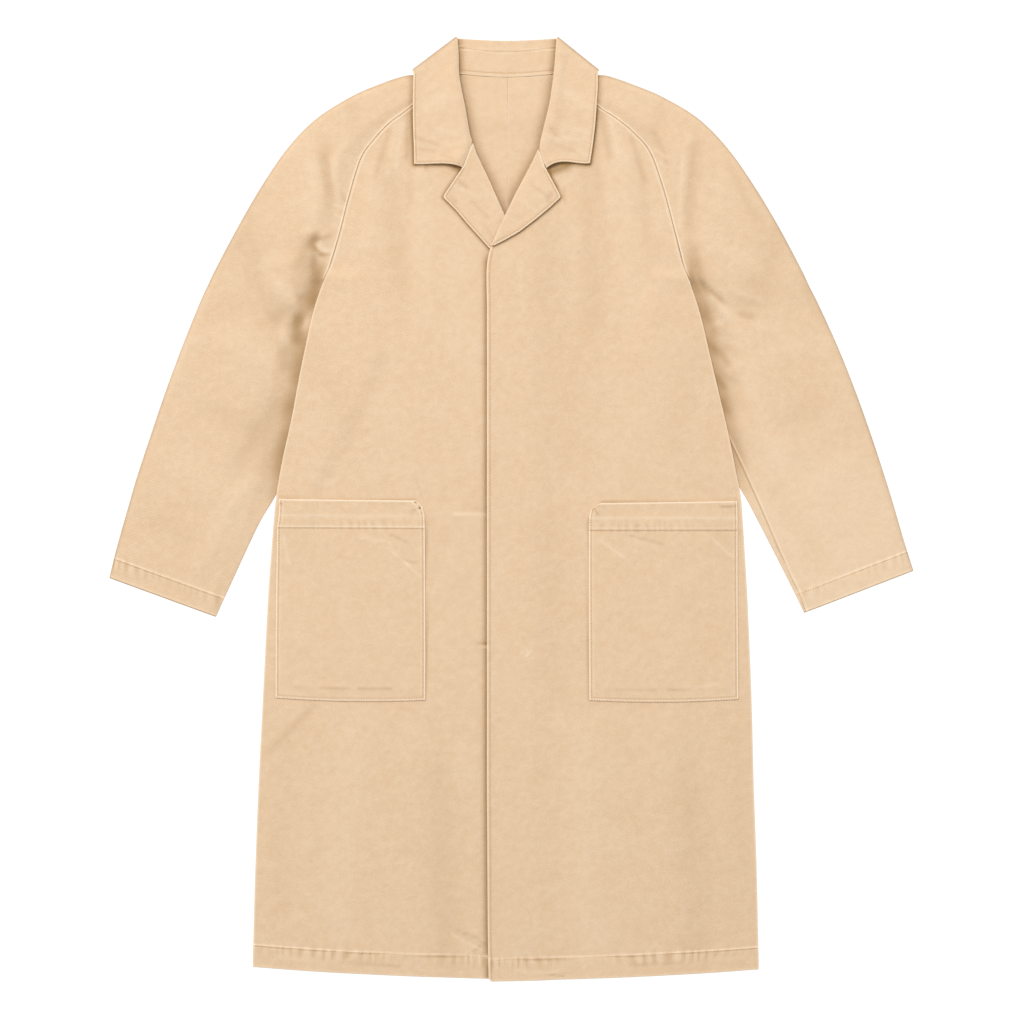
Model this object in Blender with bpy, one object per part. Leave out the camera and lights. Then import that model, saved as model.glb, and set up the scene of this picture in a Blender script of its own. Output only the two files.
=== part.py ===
"""A duster coat laid flat on its back, collar and lapels turned, fronts closed.

Lengths are in millimetres in the tables and become metres when a mesh is made.
X runs across the coat, Y from hem to neck, Z up from the surface it lies on.
"""

import bpy
import numpy as np

MM = 0.001

# Driving dimensions

WALL = 1.2
COLLAR_WALL = 1.6
LAYER = 1.8
SEAM_GAP = 0.3
AIR = 3.0
NECK_AIR_SHARE = 0.6
EDGE_ROLL = 2.5
ROLL_LINE_WIDTH = 4.0
SLEEVE_ROLL = 8.0
SLEEVE_UNDER_ROLL = 4.5
LEAF_ROLL = 6.0
STAND_ROLL = 3.0
ROLL_DROP = 0.8
STAND_DROP = 0.4
SIDE_SLOPE = 45.0
BODY_FINE_ROWS = 15
POCKET_STEP = 2.2
CENTRE_BACK_X = -4.4
COLLAR_STEP = 2.2
NECK_GAP = 0.8
NECK_ROWS = 9
TUCK_STEP = 3.6
OVERLAP_STEP = 3.3
LAPEL_STEP = 1.7
TURNED_STEP = 2.4
HEM_DEPTH = 25.0
HEM_EXTRA = 0.6
CUFF_ROWS = 2
POCKET_BAND = 34.0
POCKET_BOW = 2.8
FABRIC = (0.80, 0.61, 0.42, 1.0)
FABRIC_ROUGHNESS = 0.9

# Side lines from neck to hem: the first rows follow the raglan seam, the rest the side seam

RAGLAN_ROWS = 9
TUCK_ROWS = (10, 17)
SIDE_LEFT = (
    # x, y
    (-91, 530), (-122.5, 504), (-139, 491), (-152.5, 481), (-170, 462.5), (-187.5, 437.5),
    (-202.5, 389), (-214, 344), (-226, 304), (-245, 252), (-261, 181), (-274, 112), (-285, 62),
    (-292, 22), (-296, -14), (-302, -89), (-305, -139), (-310, -239), (-315, -339), (-319, -439),
    (-321.5, -526), (-322.5, -572),
)
SIDE_RIGHT = (
    (81, 530), (109, 502.5), (124, 492.5), (136, 484), (154, 469), (174, 445),
    (190, 401), (204, 349), (215, 306), (235, 247), (252.5, 174), (271, 95), (281, 45),
    (286.5, 17), (289.5, -20), (294, -89), (296.5, -139), (300.5, -239), (303, -339), (306.5, -439),
    (308.5, -526), (309.5, -575),
)

# Neck edge, roll line and front edge, one row for each row of the side line

CENTRE_LEFT = (
    (-80, 530), (-69, 501), (-58.5, 472.5), (-50, 454), (-38.5, 432), (-27.5, 410),
    (-13.5, 380), (2.5, 344), (15, 304), (15, 252), (15, 181), (15, 112), (15, 62),
    (15, 22), (15, -14), (15, -89), (15, -139), (15, -239), (15, -339), (15, -439),
    (15, -526), (15, -587),
)
CENTRE_RIGHT = (
    (70, 530), (56, 501), (46, 472.5), (37.5, 454), (26, 431), (15, 410),
    (0, 380), (-17.5, 344), (-29.5, 308), (-30, 247), (-30, 174), (-30, 95), (-30, 45),
    (-30, 17), (-30, -20), (-30, -89), (-30, -139), (-30, -239), (-30, -339), (-29.5, -439),
    (-29, -526), (-28, -589),
)

# Lower edge of the fronts: distances from the middle, and the heights there

FRONT_HEM = (0, 320), (-588, -572)

# Sleeves, a row for each section from neck to cuff

SLEEVE_LEFT = (
    # outer_x, outer_y, inner_x, inner_y, open to the seam, edge_z, flat share, crown_z
    (-108, 540.5, -92, 531, 1, 0, 0.0, 6.2),
    (-133, 540, -122.5, 504, 1, 0, 0.0, 6.4),
    (-167.5, 528.5, -139, 491, 1, 0, 0.0, 8.0),
    (-201, 513.5, -152.5, 481, 1, 0, 0.0, 9.0),
    (-243.5, 486, -170, 462.5, 1, 0, 0.0, 10.0),
    (-278.5, 450, -187.5, 437.5, 1, 0, 0.0, 10.5),
    (-311, 402.5, -202.5, 389, 1, 0, 0.0, 11.0),
    (-342, 349, -214, 344, 1, 0, 0.0, 11.0),
    (-367.5, 301, -226, 304, 1, 0, 0.0, 10.5),
    (-373, 290, -231.5, 289.5, 0.5, 3.4, 0.0, 10.4),
    (-377.5, 280, -234.5, 281, 0, 2.6, 0.03, 10.2),
    (-381, 273, -229.5, 271, 0, 2.4, 0.08, 10.0),
    (-391, 250, -224, 251, 0, 2.4, 0.20, 10.0),
    (-411, 200, -207.5, 196, 0, 2.4, 0.30, 10.0),
    (-431, 146, -229, 141, 0, 2.4, 0.25, 9.5),
    (-450, 90, -261, 77.5, 0, 2.4, 0.16, 9.0),
    (-466.5, 40, -295, 15, 0, 2.6, 0.05, 9.0),
    (-475, 11, -316, -21, 0, 4.0, 0.0, 8.5),
    (-489.5, -39, -341, -74, 0, 4.4, 0.0, 8.0),
    (-501, -86, -368.5, -134.5, 0, 4.6, 0.0, 7.5),
)
SLEEVE_RIGHT = (
    (98, 540.5, 82, 531, 1, 0, 0.0, 6.2),
    (120.5, 540, 109, 502.5, 1, 0, 0.0, 6.4),
    (155, 528.5, 124, 492.5, 1, 0, 0.0, 8.0),
    (190, 513.5, 136, 484, 1, 0, 0.0, 9.0),
    (233.5, 487, 154, 469, 1, 0, 0.0, 10.0),
    (270, 450, 174, 445, 1, 0, 0.0, 10.5),
    (303.5, 402.5, 190, 401, 1, 0, 0.0, 11.0),
    (335, 350, 204, 349, 1, 0, 0.0, 11.0),
    (361, 301, 215, 306, 1, 0, 0.0, 10.5),
    (366.5, 290, 220.8, 290, 0.5, 3.4, 0.0, 10.4),
    (371, 280, 224.2, 281, 0, 2.6, 0.03, 10.2),
    (375, 272, 220, 271, 0, 2.4, 0.08, 10.0),
    (386, 250, 214, 251, 0, 2.4, 0.20, 10.0),
    (409, 199, 197.5, 196, 0, 2.4, 0.30, 10.0),
    (430, 146, 221, 141, 0, 2.4, 0.25, 9.5),
    (450, 90, 254, 77.5, 0, 2.4, 0.16, 9.0),
    (466, 41, 289, 21, 0, 2.6, 0.05, 9.0),
    (476, 9, 306, -10, 0, 4.0, 0.0, 8.5),
    (490, -39, 335, -65, 0, 4.4, 0.0, 8.0),
    (502, -77, 366, -129.5, 0, 4.6, 0.0, 7.5),
)

# Collar fall from centre back, round the shoulder fold, to the end of the front leaf

FALL_LEFT = (
    # roll_x, roll_y, outer_x, outer_y, roll_z, outer_z
    (-26, 585.3, -29, 510, 0.8, 0.8),
    (-47.5, 586.6, -60, 511, 0.8, 0.8),
    (-61, 587.6, -94, 520, 0.8, 0.8),
    (-66.5, 588, -118, 542, 0.8, 0.8),
    (-68.5, 589, -123.2, 547.5, 2.8, 4.6),
    (-67, 587, -121.5, 544, 5.2, 8.6),
    (-65.5, 566, -122, 523.5, 6.2, 8.8),
    (-65, 544, -122.2, 501, 7.6, 8.8),
    (-61.5, 521, -122, 479, 9.2, 8.6),
    (-57.5, 502.5, -121.6, 466, 9.3, 8.2),
    (-51.5, 468, -121, 451, 8.4, 7.9),
    (-49, 457.5, -120.8, 441, 8.3, 7.8),
    (-54, 443, -120.7, 434, 8.3, 7.8),
    (-61, 426, -120.6, 430, 8.2, 7.8),
)
FALL_RIGHT = (
    (17, 585.3, 20, 510, 0.8, 0.8),
    (38.5, 586.6, 51, 511, 0.8, 0.8),
    (51, 587.6, 86, 520, 0.8, 0.8),
    (56.5, 588, 105, 542, 0.8, 0.8),
    (58.5, 589, 109.8, 547.5, 2.8, 4.6),
    (57, 587, 108.5, 544, 5.2, 8.6),
    (55.5, 566, 108, 523.5, 6.2, 8.8),
    (53.5, 544, 106.5, 501, 7.6, 8.8),
    (50.5, 521, 104.9, 479, 9.2, 8.6),
    (47.5, 502.5, 103.4, 466, 9.3, 8.2),
    (39, 468, 101.5, 451, 8.4, 7.9),
    (35.8, 450, 100, 441, 8.4, 7.8),
    (39.8, 436, 99.2, 436, 8.3, 7.8),
    (44.4, 425, 98.4, 431, 8.2, 7.8),
)

# Lapels from the gorge, round the tip, to the break

LAPEL_LEFT = (
    # roll_x, roll_y, outer_x, outer_y
    (-47.6, 457, -49.6, 453.4),
    (-42.5, 442.5, -60.6, 425.2),
    (-31, 418.5, -85, 389),
    (-22.5, 400, -68.5, 372.5),
    (-14, 380, -52.5, 353.5),
    (-5, 361, -38.5, 338),
    (3.5, 341.5, -25, 323),
)
LAPEL_RIGHT = (
    (33.8, 448.6, 36.4, 445),
    (27.5, 435, 43.4, 424.4),
    (15, 411, 62.5, 389),
    (6, 394, 47.5, 375),
    (-3, 375, 31, 361),
    (-14, 352.5, 11, 345.5),
    (-20.5, 337.5, -7.5, 335),
    (-25, 327.5, -21.5, 328),
)

# Lower edge of the collar's back fall: distances from the centre back, and the heights there

UNDER_FALL = (0, 56, 90, 119, 131), (510, 511, 520, 546, 575)

STAND = (
    # lower_x, lower_y, upper_x, upper_y
    (-74, 544.5, -65, 586.8),
    (-60, 542.8, -55, 586.6),
    (-32, 540.2, -30, 585.3),
    (-4.4, 539.2, -4.4, 584.7),
    (23, 540.4, 21, 585.3),
    (50, 542.8, 45, 586.6),
    (64, 544.5, 55.5, 586.8),
)

POCKET_LEFT = (
    # left_x, left_y, right_x, right_y
    (-290, 12.5, -119, 10.8),
    (-289.5, 5, -110.3, 3.2),
    (-289.5, -7, -107.5, -8),
    (-292, -23, -107.2, -24),
    (-293.5, -110, -106.8, -110),
    (-294, -180, -106.6, -180),
    (-294, -236.8, -106.8, -239.6),
)
POCKET_RIGHT = (
    (111.5, 7.5, 282, 10),
    (99, -0.5, 282.5, 2),
    (97.5, -9, 282.8, -8),
    (97, -26, 283, -26),
    (97, -110, 283.2, -110),
    (97.3, -180, 283.6, -180),
    (97.6, -239.8, 284, -238.6),
)

# Largest folds: where each starts and ends, its half width and its height, below zero for a trough

SLEEVE_FOLDS = (
    # x0, y0, x1, y1, half_width, height
    (-242, 285, -246, 262, 9, -2.2),
    (-290, 278, -262, 246, 10, 1.8),
    (-266, 228, -272, 200, 9, -2.0),
    (-232, 437, -226, 376, 13, -1.8),
    (-232, 340, -250, 322, 8, 1.6),
    (-300, 120, -330, 60, 16, -1.6),
    (-380, 330, -420, 180, 22, 1.4),
    (-330, 20, -380, -60, 15, 1.2),
    (222, 457, 212, 339, 10, -2.0),
    (240, 286, 262, 225, 10, -2.0),
    (262, 206, 285, 170, 9, -1.6),
    (300, 150, 330, 70, 16, 1.4),
    (390, 300, 425, 160, 22, 1.4),
    (330, 20, 380, -60, 15, -1.2),
)
FRONT_FOLDS = (
    (-112, 430, -104, 250, 12, 1.0),
    (-150, 420, -140, 280, 14, -0.9),
    (95, 425, 105, 230, 12, -0.9),
    (140, 440, 150, 260, 14, 1.0),
    (-70, -8, -33, -7, 4, 0.8),
    (-200, -300, -215, -520, 22, 1.0),
    (-90, -320, -80, -560, 20, -0.9),
    (90, -300, 100, -560, 22, 1.0),
    (220, -320, 235, -540, 20, -0.9),
)


def ramp(start, end, value):
    """0 at start, 1 at end, with a soft curve between them."""
    share = np.clip((value - start) / (end - start), 0, 1)
    return share * share * (3 - 2 * share)


def smooth_rows(table, steps, fine_rows=None):
    """Rows joined by a curve through every row, with steps from each to the next, and 1 after fine_rows."""
    rows = np.array(table, float)
    padded = np.vstack([2 * rows[0] - rows[1], rows, 2 * rows[-1] - rows[-2]])
    fine = min(fine_rows or len(rows), len(rows) - 1)
    place = np.concatenate([np.arange(fine * steps) / steps, np.arange(fine, len(rows))])
    first = np.minimum(place.astype(int), len(rows) - 2)
    t = (place - first)[:, None]
    a, b, c, d = (padded[first + k] for k in range(4))
    return b + t * (c - a) / 2 + t * t * (a - 2.5 * b + 2 * c - d / 2) + t**3 * (1.5 * (b - c) + (d - a) / 2)


def straight_rows(table, steps):
    """Rows of a table joined by straight lines, which keeps its corners."""
    rows = np.array(table, float)
    place = np.linspace(0, len(rows) - 1, (len(rows) - 1) * steps + 1)
    return np.stack([np.interp(place, np.arange(len(rows)), column) for column in rows.T], axis=1)


def across(width, count, near=(), far=()):
    """Distances from a row's start, shape rows by columns: near and far columns keep theirs from each end."""
    inner = np.linspace(0, 1, count)
    low = near[-1] if near else 0.0
    high = far[-1] if far else 0.0
    middle = low + (width[:, None] - low - high) * inner
    start = np.broadcast_to(np.array(near[:-1]), (len(width), max(len(near) - 1, 0)))
    end = width[:, None] - np.array(far[:-1])[::-1]
    return np.hstack([start, middle, end]) if far else np.hstack([start, middle])


def ruled(start, end, count, near=(), far=()):
    """Points on straight rows from start to end, with the distance of each from both ends."""
    along = end - start
    width = np.linalg.norm(along, axis=1)
    distance = across(width, count, near, far)
    points = start[:, None] + along[:, None] * (distance / width[:, None])[..., None]
    return points, distance, width[:, None] - distance


def curl(distance, radius=EDGE_ROLL):
    """1 at an edge and 0 from one radius in, along a quarter of an ellipse."""
    return 1 - np.sqrt(np.clip(1 - (1 - np.minimum(distance / radius, 1)) ** 2, 0, 1))


def folds(x, y, table):
    """Height of soft folds: a bell across each line, fading at both ends."""
    height = np.zeros_like(x)
    for x0, y0, x1, y1, half_width, depth in table:
        length = np.hypot(x1 - x0, y1 - y0)
        along = ((x - x0) * (x1 - x0) + (y - y0) * (y1 - y0)) / length
        aside = ((x - x0) * (y1 - y0) - (y - y0) * (x1 - x0)) / length
        beyond = np.maximum(np.maximum(-along, along - length), 0)
        height += depth * np.exp(-(aside / half_width) ** 2 - (beyond / (1.5 * half_width)) ** 2)
    return height


def column_at(table, column, y):
    """A table's column read at the heights y of its second column."""
    rows = np.array(table, float)
    return np.interp(y, rows[::-1, 1], rows[::-1, column])


def collar_rise(x, y):
    """1 where the collar's back fall lies under, 0 away from it."""
    edge = np.interp(np.abs(x - CENTRE_BACK_X), *UNDER_FALL)
    return ramp(edge - 45, edge - 20, y)


def tuck_rise(x, y):
    """1 where a sleeve's inner strip is tucked under the body, 0 away from it."""
    rise = np.zeros_like(x)
    for side, table in ((-1, SLEEVE_LEFT), (1, SLEEVE_RIGHT)):
        tucked = np.array(table, float)[slice(*TUCK_ROWS), 2:4]
        hidden = side * np.interp(y, tucked[::-1, 1], tucked[::-1, 0])
        here = ramp(hidden - 62, hidden - 34, side * x)
        rise = np.maximum(rise, here * ramp(303, 286, y) * ramp(-75, 2, y))
    return rise


def back_height(x, y):
    return WALL / 2 + COLLAR_STEP * collar_rise(x, y) + TUCK_STEP * tuck_rise(x, y)


def front_height(x, y):
    """Mid height of the fronts: on the back, lifted by the air inside except along the side seams."""
    side = np.where(x < 0, x - column_at(SIDE_LEFT, 0, y), column_at(SIDE_RIGHT, 0, y) - x)
    sewn = ramp(300, 262, y) * np.exp(-(np.maximum(side, 0) / SIDE_SLOPE) ** 2)
    neck = 1 - NECK_AIR_SHARE * ramp(480, 530, y)
    return back_height(x, y) + LAYER + AIR * (1 - sewn) * neck + folds(x, y, FRONT_FOLDS) * (1 - sewn)


def overlap(x, y):
    """Lift of the right front where it lies on the left front, and on the left lapel above."""
    return (OVERLAP_STEP + LAPEL_STEP * ramp(240, 300, y)) * ramp(62, 22, x) * ramp(430, 378, y)


def turned_height(x, y, side):
    """Mid height of a lapel, which lies on its front."""
    lift = overlap(x, y) if side > 0 else 0
    return front_height(x, y) + lift + TURNED_STEP


def normals(points):
    """Unit normals of a grid, upwards along its first column."""
    down = np.gradient(points, axis=0)
    right = np.gradient(points, axis=1)
    cross = np.cross(right, down)
    cross *= np.sign(cross[:, 0, 2].sum())
    return cross / np.linalg.norm(cross, axis=2, keepdims=True)


def sheet(name, points, wall, extra=None):
    """A closed wall round a grid of mid points, in millimetres; extra thickens its outer face."""
    rows, columns = points.shape[:2]
    face = normals(points)
    outwards = np.full((rows, columns), wall / 2) if extra is None else wall / 2 + extra
    outer = points + face * outwards[..., None]
    inner = points - face * (wall / 2)
    index = np.arange(rows * columns).reshape(rows, columns)
    a, b, c, d = index[:-1, :-1], index[:-1, 1:], index[1:, 1:], index[1:, :-1]
    quads = np.stack([a, d, c, b], axis=-1).reshape(-1, 4)
    rim = np.concatenate([index[0, :-1], index[:-1, -1], index[-1, :0:-1], index[:0:-1, 0]])
    after = np.roll(rim, -1)
    low = rows * columns
    walls = np.stack([rim, rim + low, after + low, after], axis=-1)
    faces = np.vstack([quads[:, ::-1], quads + low, walls])
    vertices = np.vstack([outer.reshape(-1, 3), inner.reshape(-1, 3)]) * MM
    mesh = bpy.data.meshes.new(name)
    mesh.from_pydata(vertices.tolist(), [], faces.tolist())
    if signed_volume(vertices, faces) < 0:
        mesh.flip_normals()
    mesh.shade_smooth()
    mesh.set_sharp_from_angle(angle=np.radians(40))
    piece = bpy.data.objects.new(name, mesh)
    bpy.context.scene.collection.objects.link(piece)
    mesh.materials.append(cotton(name))
    return piece


def signed_volume(vertices, faces):
    a, b, c, d = (vertices[faces[:, k]] for k in range(4))
    return (np.einsum("ij,ij->i", a, np.cross(b, c)) + np.einsum("ij,ij->i", a, np.cross(c, d))).sum()


def cotton(name):
    """Washed cotton twill."""
    material = bpy.data.materials.new(f"{name}_cotton")
    material.use_nodes = True
    shader = material.node_tree.nodes["Principled BSDF"]
    shader.inputs["Base Color"].default_value = FABRIC
    shader.inputs["Roughness"].default_value = FABRIC_ROUGHNESS
    shader.inputs["Metallic"].default_value = 0.0
    return material


def lifted(points, height):
    return np.dstack([points, np.broadcast_to(height, points.shape[:2])])


def neck_edge(x):
    """The back's edge along the neck, just below the stand and down to the shoulder at both ends."""
    stand = np.array(STAND)[1:-1]
    x_known = (SIDE_LEFT[0][0], *stand[:, 0], SIDE_RIGHT[0][0])
    y_known = (SIDE_LEFT[0][1], *(stand[:, 1] - NECK_GAP), SIDE_RIGHT[0][1])
    return np.interp(x, x_known, y_known)


def hem_extra(points, hem_y):
    """The turned hem makes the wall thicker along its last stretch."""
    return HEM_EXTRA * ramp(hem_y + HEM_DEPTH + 3, hem_y + HEM_DEPTH - 1, points[..., 1])


def side_roll(points, distance):
    """How far an edge turns towards the other layer: only along the side seam, below the raglan seam."""
    return curl(distance) * ramp(300, 285, points[..., 1])


def back(name, side_table, side):
    sides = smooth_rows(side_table, 2, BODY_FINE_ROWS)
    centre = smooth_rows(CENTRE_LEFT if side < 0 else CENTRE_RIGHT, 2, BODY_FINE_ROWS)
    raglan = 2 * RAGLAN_ROWS
    centre[:raglan, 1] = np.linspace(neck_edge(CENTRE_BACK_X), centre[raglan, 1], raglan)
    centre[:, 0] = CENTRE_BACK_X + side * SEAM_GAP / 2
    points, distance, _ = ruled(sides, centre, 7, near=(0.0, EDGE_ROLL))
    lift = neck_edge(points[0, :, 0]) - points[0, :, 1]
    points[:NECK_ROWS, :, 1] += lift * np.linspace(1, 0, NECK_ROWS)[:, None]
    up = side_roll(points, distance) * (LAYER - WALL - SEAM_GAP) / 2
    return sheet(name, lifted(points, back_height(points[..., 0], points[..., 1]) + up), WALL)


def front(name, side_table, centre_table, side):
    sides = smooth_rows(side_table, 2, BODY_FINE_ROWS)
    centre = smooth_rows(centre_table, 2, BODY_FINE_ROWS)
    points, distance, far = ruled(sides, centre, 9, near=(0.0, EDGE_ROLL), far=(0.0, ROLL_LINE_WIDTH))
    x, y = points[..., 0], points[..., 1]
    height = front_height(x, y)
    if side > 0:
        height = height + overlap(x, y)
    roll_line = ramp(462, 452, y) * ramp(308, 325, y)
    height += curl(far, ROLL_LINE_WIDTH) * roll_line * (TURNED_STEP - WALL - SEAM_GAP) / 2
    height -= side_roll(points, distance) * (LAYER - WALL - SEAM_GAP) / 2
    hem = np.interp(np.abs(x), *FRONT_HEM)
    return sheet(name, lifted(points, height), WALL, hem_extra(points, hem))


def sleeve(name, table):
    """Each section runs from the front seam over the top to the outer fold and back below to the back seam."""
    rows = smooth_rows(table, 2)
    outer, inner = rows[:, :2], rows[:, 2:4]
    opened = np.clip(rows[:, 4:5], 0, 1)
    edge, flat, crown = rows[:, 5:6], np.clip(rows[:, 6:7], 0, 1), rows[:, 7:8]
    points, distance, far = ruled(outer, inner, 7, near=(0.0, 1.2, 4.0), far=(0.5, 3.5))
    x, y = points[..., 0], points[..., 1]
    width = np.linalg.norm(inner - outer, axis=1)[:, None]
    seam = opened * front_height(inner[:, :1], inner[:, 1:]) + (1 - opened) * edge
    share = far / width
    top = seam + (crown - seam) * ramp(flat, flat + 0.3, share)
    closed = 1 - opened
    free = ramp(3.0, 3.8, edge) * closed
    top = top + folds(x, y, SLEEVE_FOLDS) * ramp(flat, flat + 0.08, share)
    floor = WALL / 2 + COLLAR_STEP * collar_rise(x, y)
    middle = floor + 2.0
    rounded = curl(distance, SLEEVE_ROLL)
    top = top - rounded * (top - middle)
    bottom = floor + curl(distance, SLEEVE_UNDER_ROLL) * (middle - floor)
    close = curl(far, 2.5 + 2.0 * free) * closed
    half = (top - bottom - WALL - SEAM_GAP) / 2
    top = top - close * half
    bottom = bottom + close * half
    upper = lifted(points, top)
    lower = lifted(points, bottom)
    section = np.concatenate([upper[:, ::-1], lower[:, 1:]], axis=1)
    cuff = np.zeros(section.shape[:2])
    cuff[-CUFF_ROWS:, 1:upper.shape[1] - 1] = HEM_EXTRA
    return sheet(name, section, WALL, cuff)


def collar_fall():
    """One strip from the left leaf's end, under the back of the neck, to the right leaf's end."""
    middle = (CENTRE_BACK_X, 584.6, CENTRE_BACK_X, 510, 0.8, 0.8)
    rows = np.array((*FALL_LEFT[::-1], middle, *FALL_RIGHT), float)
    points, distance, _ = ruled(rows[:, :2], rows[:, 2:4], 6, near=(0.0, 1.5, 5.0))
    width = np.linalg.norm(rows[:, 2:4] - rows[:, :2], axis=1)[:, None]
    height = rows[:, 4:5] + (rows[:, 5:6] - rows[:, 4:5]) * distance / width
    on_top = ramp(4.0, 6.0, rows[:, 4:5])
    height = height - curl(distance, LEAF_ROLL) * on_top * ROLL_DROP
    return sheet("collar_fall", lifted(points, height), COLLAR_WALL)


def collar_stand():
    rows = smooth_rows(STAND, 3)
    points, _, far = ruled(rows[:, :2], rows[:, 2:4], 4, far=(0.0, STAND_ROLL))
    height = WALL / 2 + COLLAR_STEP + np.zeros(points.shape[:2])
    return sheet("collar_stand", lifted(points, height - STAND_DROP * curl(far, STAND_ROLL)), WALL)


def lapel(name, table, side):
    rows = straight_rows(table, 2)
    points, _, _ = ruled(rows[:, :2], rows[:, 2:4], 7)
    height = turned_height(points[..., 0], points[..., 1], side)
    return sheet(name, lifted(points, height), WALL)


def pocket(name, table, side):
    rows = straight_rows(table, 2)
    points, near, far = ruled(rows[:, :2], rows[:, 2:4], 9)
    share = near / (near + far)
    points[..., 1] -= POCKET_BOW * 4 * share * (1 - share) * ramp(-180, -239, points[..., 1])
    x, y = points[..., 0], points[..., 1]
    band = HEM_EXTRA * ramp(y[0].mean() - POCKET_BAND - 4, y[0].mean() - POCKET_BAND, y)
    lift = overlap(x, y) if side > 0 else 0
    return sheet(name, lifted(points, front_height(x, y) + lift + POCKET_STEP), WALL, band)


def main():
    for old in list(bpy.data.objects):
        bpy.data.objects.remove(old)
    back("back_left", SIDE_LEFT, -1)
    back("back_right", SIDE_RIGHT, 1)
    front("front_left", SIDE_LEFT, CENTRE_LEFT, -1)
    front("front_right", SIDE_RIGHT, CENTRE_RIGHT, 1)
    sleeve("sleeve_left", SLEEVE_LEFT)
    sleeve("sleeve_right", SLEEVE_RIGHT)
    collar_fall()
    collar_stand()
    lapel("lapel_left", LAPEL_LEFT, -1)
    lapel("lapel_right", LAPEL_RIGHT, 1)
    pocket("pocket_left", POCKET_LEFT, -1)
    pocket("pocket_right", POCKET_RIGHT, 1)


main()
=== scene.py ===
"""The looks of a duster coat laid flat: cotton twill shells, seams, creases and thread.

Lengths are in millimetres in the tables and formulas, and become metres when a mesh is made.
X runs across the coat, Y from hem to neck, Z up from the surface it lies on.
Every piece is a grid over straight rows between two lines of the pattern, and its height is a
function of the place on the coat.
"""

import bpy
import numpy as np
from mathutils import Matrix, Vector
from mathutils.bvhtree import BVHTree


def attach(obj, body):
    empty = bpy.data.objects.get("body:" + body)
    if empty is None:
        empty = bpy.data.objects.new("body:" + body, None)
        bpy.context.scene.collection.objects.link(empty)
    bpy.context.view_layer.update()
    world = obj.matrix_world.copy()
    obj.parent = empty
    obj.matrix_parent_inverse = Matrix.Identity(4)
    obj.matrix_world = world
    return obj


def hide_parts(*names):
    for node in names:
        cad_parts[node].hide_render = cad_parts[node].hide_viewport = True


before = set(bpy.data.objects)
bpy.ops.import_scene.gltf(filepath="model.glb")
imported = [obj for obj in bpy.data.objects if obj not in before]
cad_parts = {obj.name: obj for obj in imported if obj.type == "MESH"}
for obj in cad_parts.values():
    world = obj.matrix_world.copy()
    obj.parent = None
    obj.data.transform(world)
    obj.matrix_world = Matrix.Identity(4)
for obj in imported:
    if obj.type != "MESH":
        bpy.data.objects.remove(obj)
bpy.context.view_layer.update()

bl_info = {
    "name": "Duster coat",
    "version": (1, 0, 0),
    "blender": (4, 5, 0),
    "location": "View3D > Sidebar > Coat",
    "description": "Cloth, seams and thread of a duster coat laid flat",
    "category": "Object",
}

MM = 0.001
LEFT, RIGHT = -1, 1
WORDS = {LEFT: "left", RIGHT: "right"}

# Layers of the coat, as in the solids

WALL = 1.2
COLLAR_WALL = 1.6
LAYER = 1.8
SEAM_GAP = 0.3
SEAM_TURN = (LAYER - WALL - SEAM_GAP) / 2
AIR = 3.0
NECK_AIR_SHARE = 0.6
SIDE_SLOPE = 45.0
CENTRE_BACK_X = -4.4
COLLAR_STEP = 2.2
NECK_GAP = 0.35
BACK_SEAM_GAP = 0.06
TUCK_STEP = 3.6
OVERLAP_STEP = 3.3
LAPEL_STEP = 1.7
TURNED_STEP = 2.4
POCKET_STEP = 2.2
RAGLAN_ROWS = 9

# The fall's lower edge, as distances from the centre back and the y there, and the rows of a sleeve that
# lie tucked under the body

FALL_OUTLINE = ((0, 56, 90, 119, 131), (510, 511, 520, 546, 575))
TUCKED_ROWS = slice(RAGLAN_ROWS + 1, 17)

# The two places between which a form fades in or out, for a ramp

FALL_SLOPE = (45, 20)
TUCK_SLOPE = (62, 34)
TUCK_TOP = (303, 286)
TUCK_END = (-75, 2)
LAP_SLOPE = (62, 22)
LAP_TOP = (430, 378)
LAP_ON_LAPEL = (240, 300)
UNDERARM = (300, 262)
RAGLAN_END = (285, 305)
FRONT_EDGE_TOP = (335, 318)
BREAK_RANGE = (308, 325)
GORGE_RANGE = (462, 452)

# Hems and turned edges: where the thread runs, and how much the folded layer stands up

HEM_STITCH = 27.0
CUFF_STITCH = 24.5
FRONT_STITCH = 4.0
EDGE_STITCH = 2.5
STAND_STITCH = 5.0
HEM_EXTRA = 0.6
HEM_BOW = 2.5
HEM_CORNER = 3.0
RIM_RADIUS = 0.7
LEAF_BOW = {LEFT: 3.0, RIGHT: 5.5}
TIP_REACH = 0.06
EDGE_LIFT = 0.9
ROLL_LIFT = 2.2
LEAF_LIFT = 1.8
# Painted highlights on crease ridges and painted shade in their troughs, as a share of the crease height
CREASE_LIGHT_AND_SHADE = 0.15
# Painted shade on each sleeve in the valley beside the body's edge: its strength, its reach, and where it
# fades in and out
VALLEY_SHADE = {LEFT: 0.8, RIGHT: 0.42}
VALLEY_REACH = {LEFT: 11.0, RIGHT: 13.0}
VALLEY_TOP = {LEFT: (250, 190), RIGHT: (322, 250)}
VALLEY_END = (-20, 60)
POCKET_BOW = 2.8
BAND_ROW = 3

# Cross-sections of seams, as heights or as colour, rubbed wear above zero and painted shade below it: bells,
# each with its height, place and half width

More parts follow.
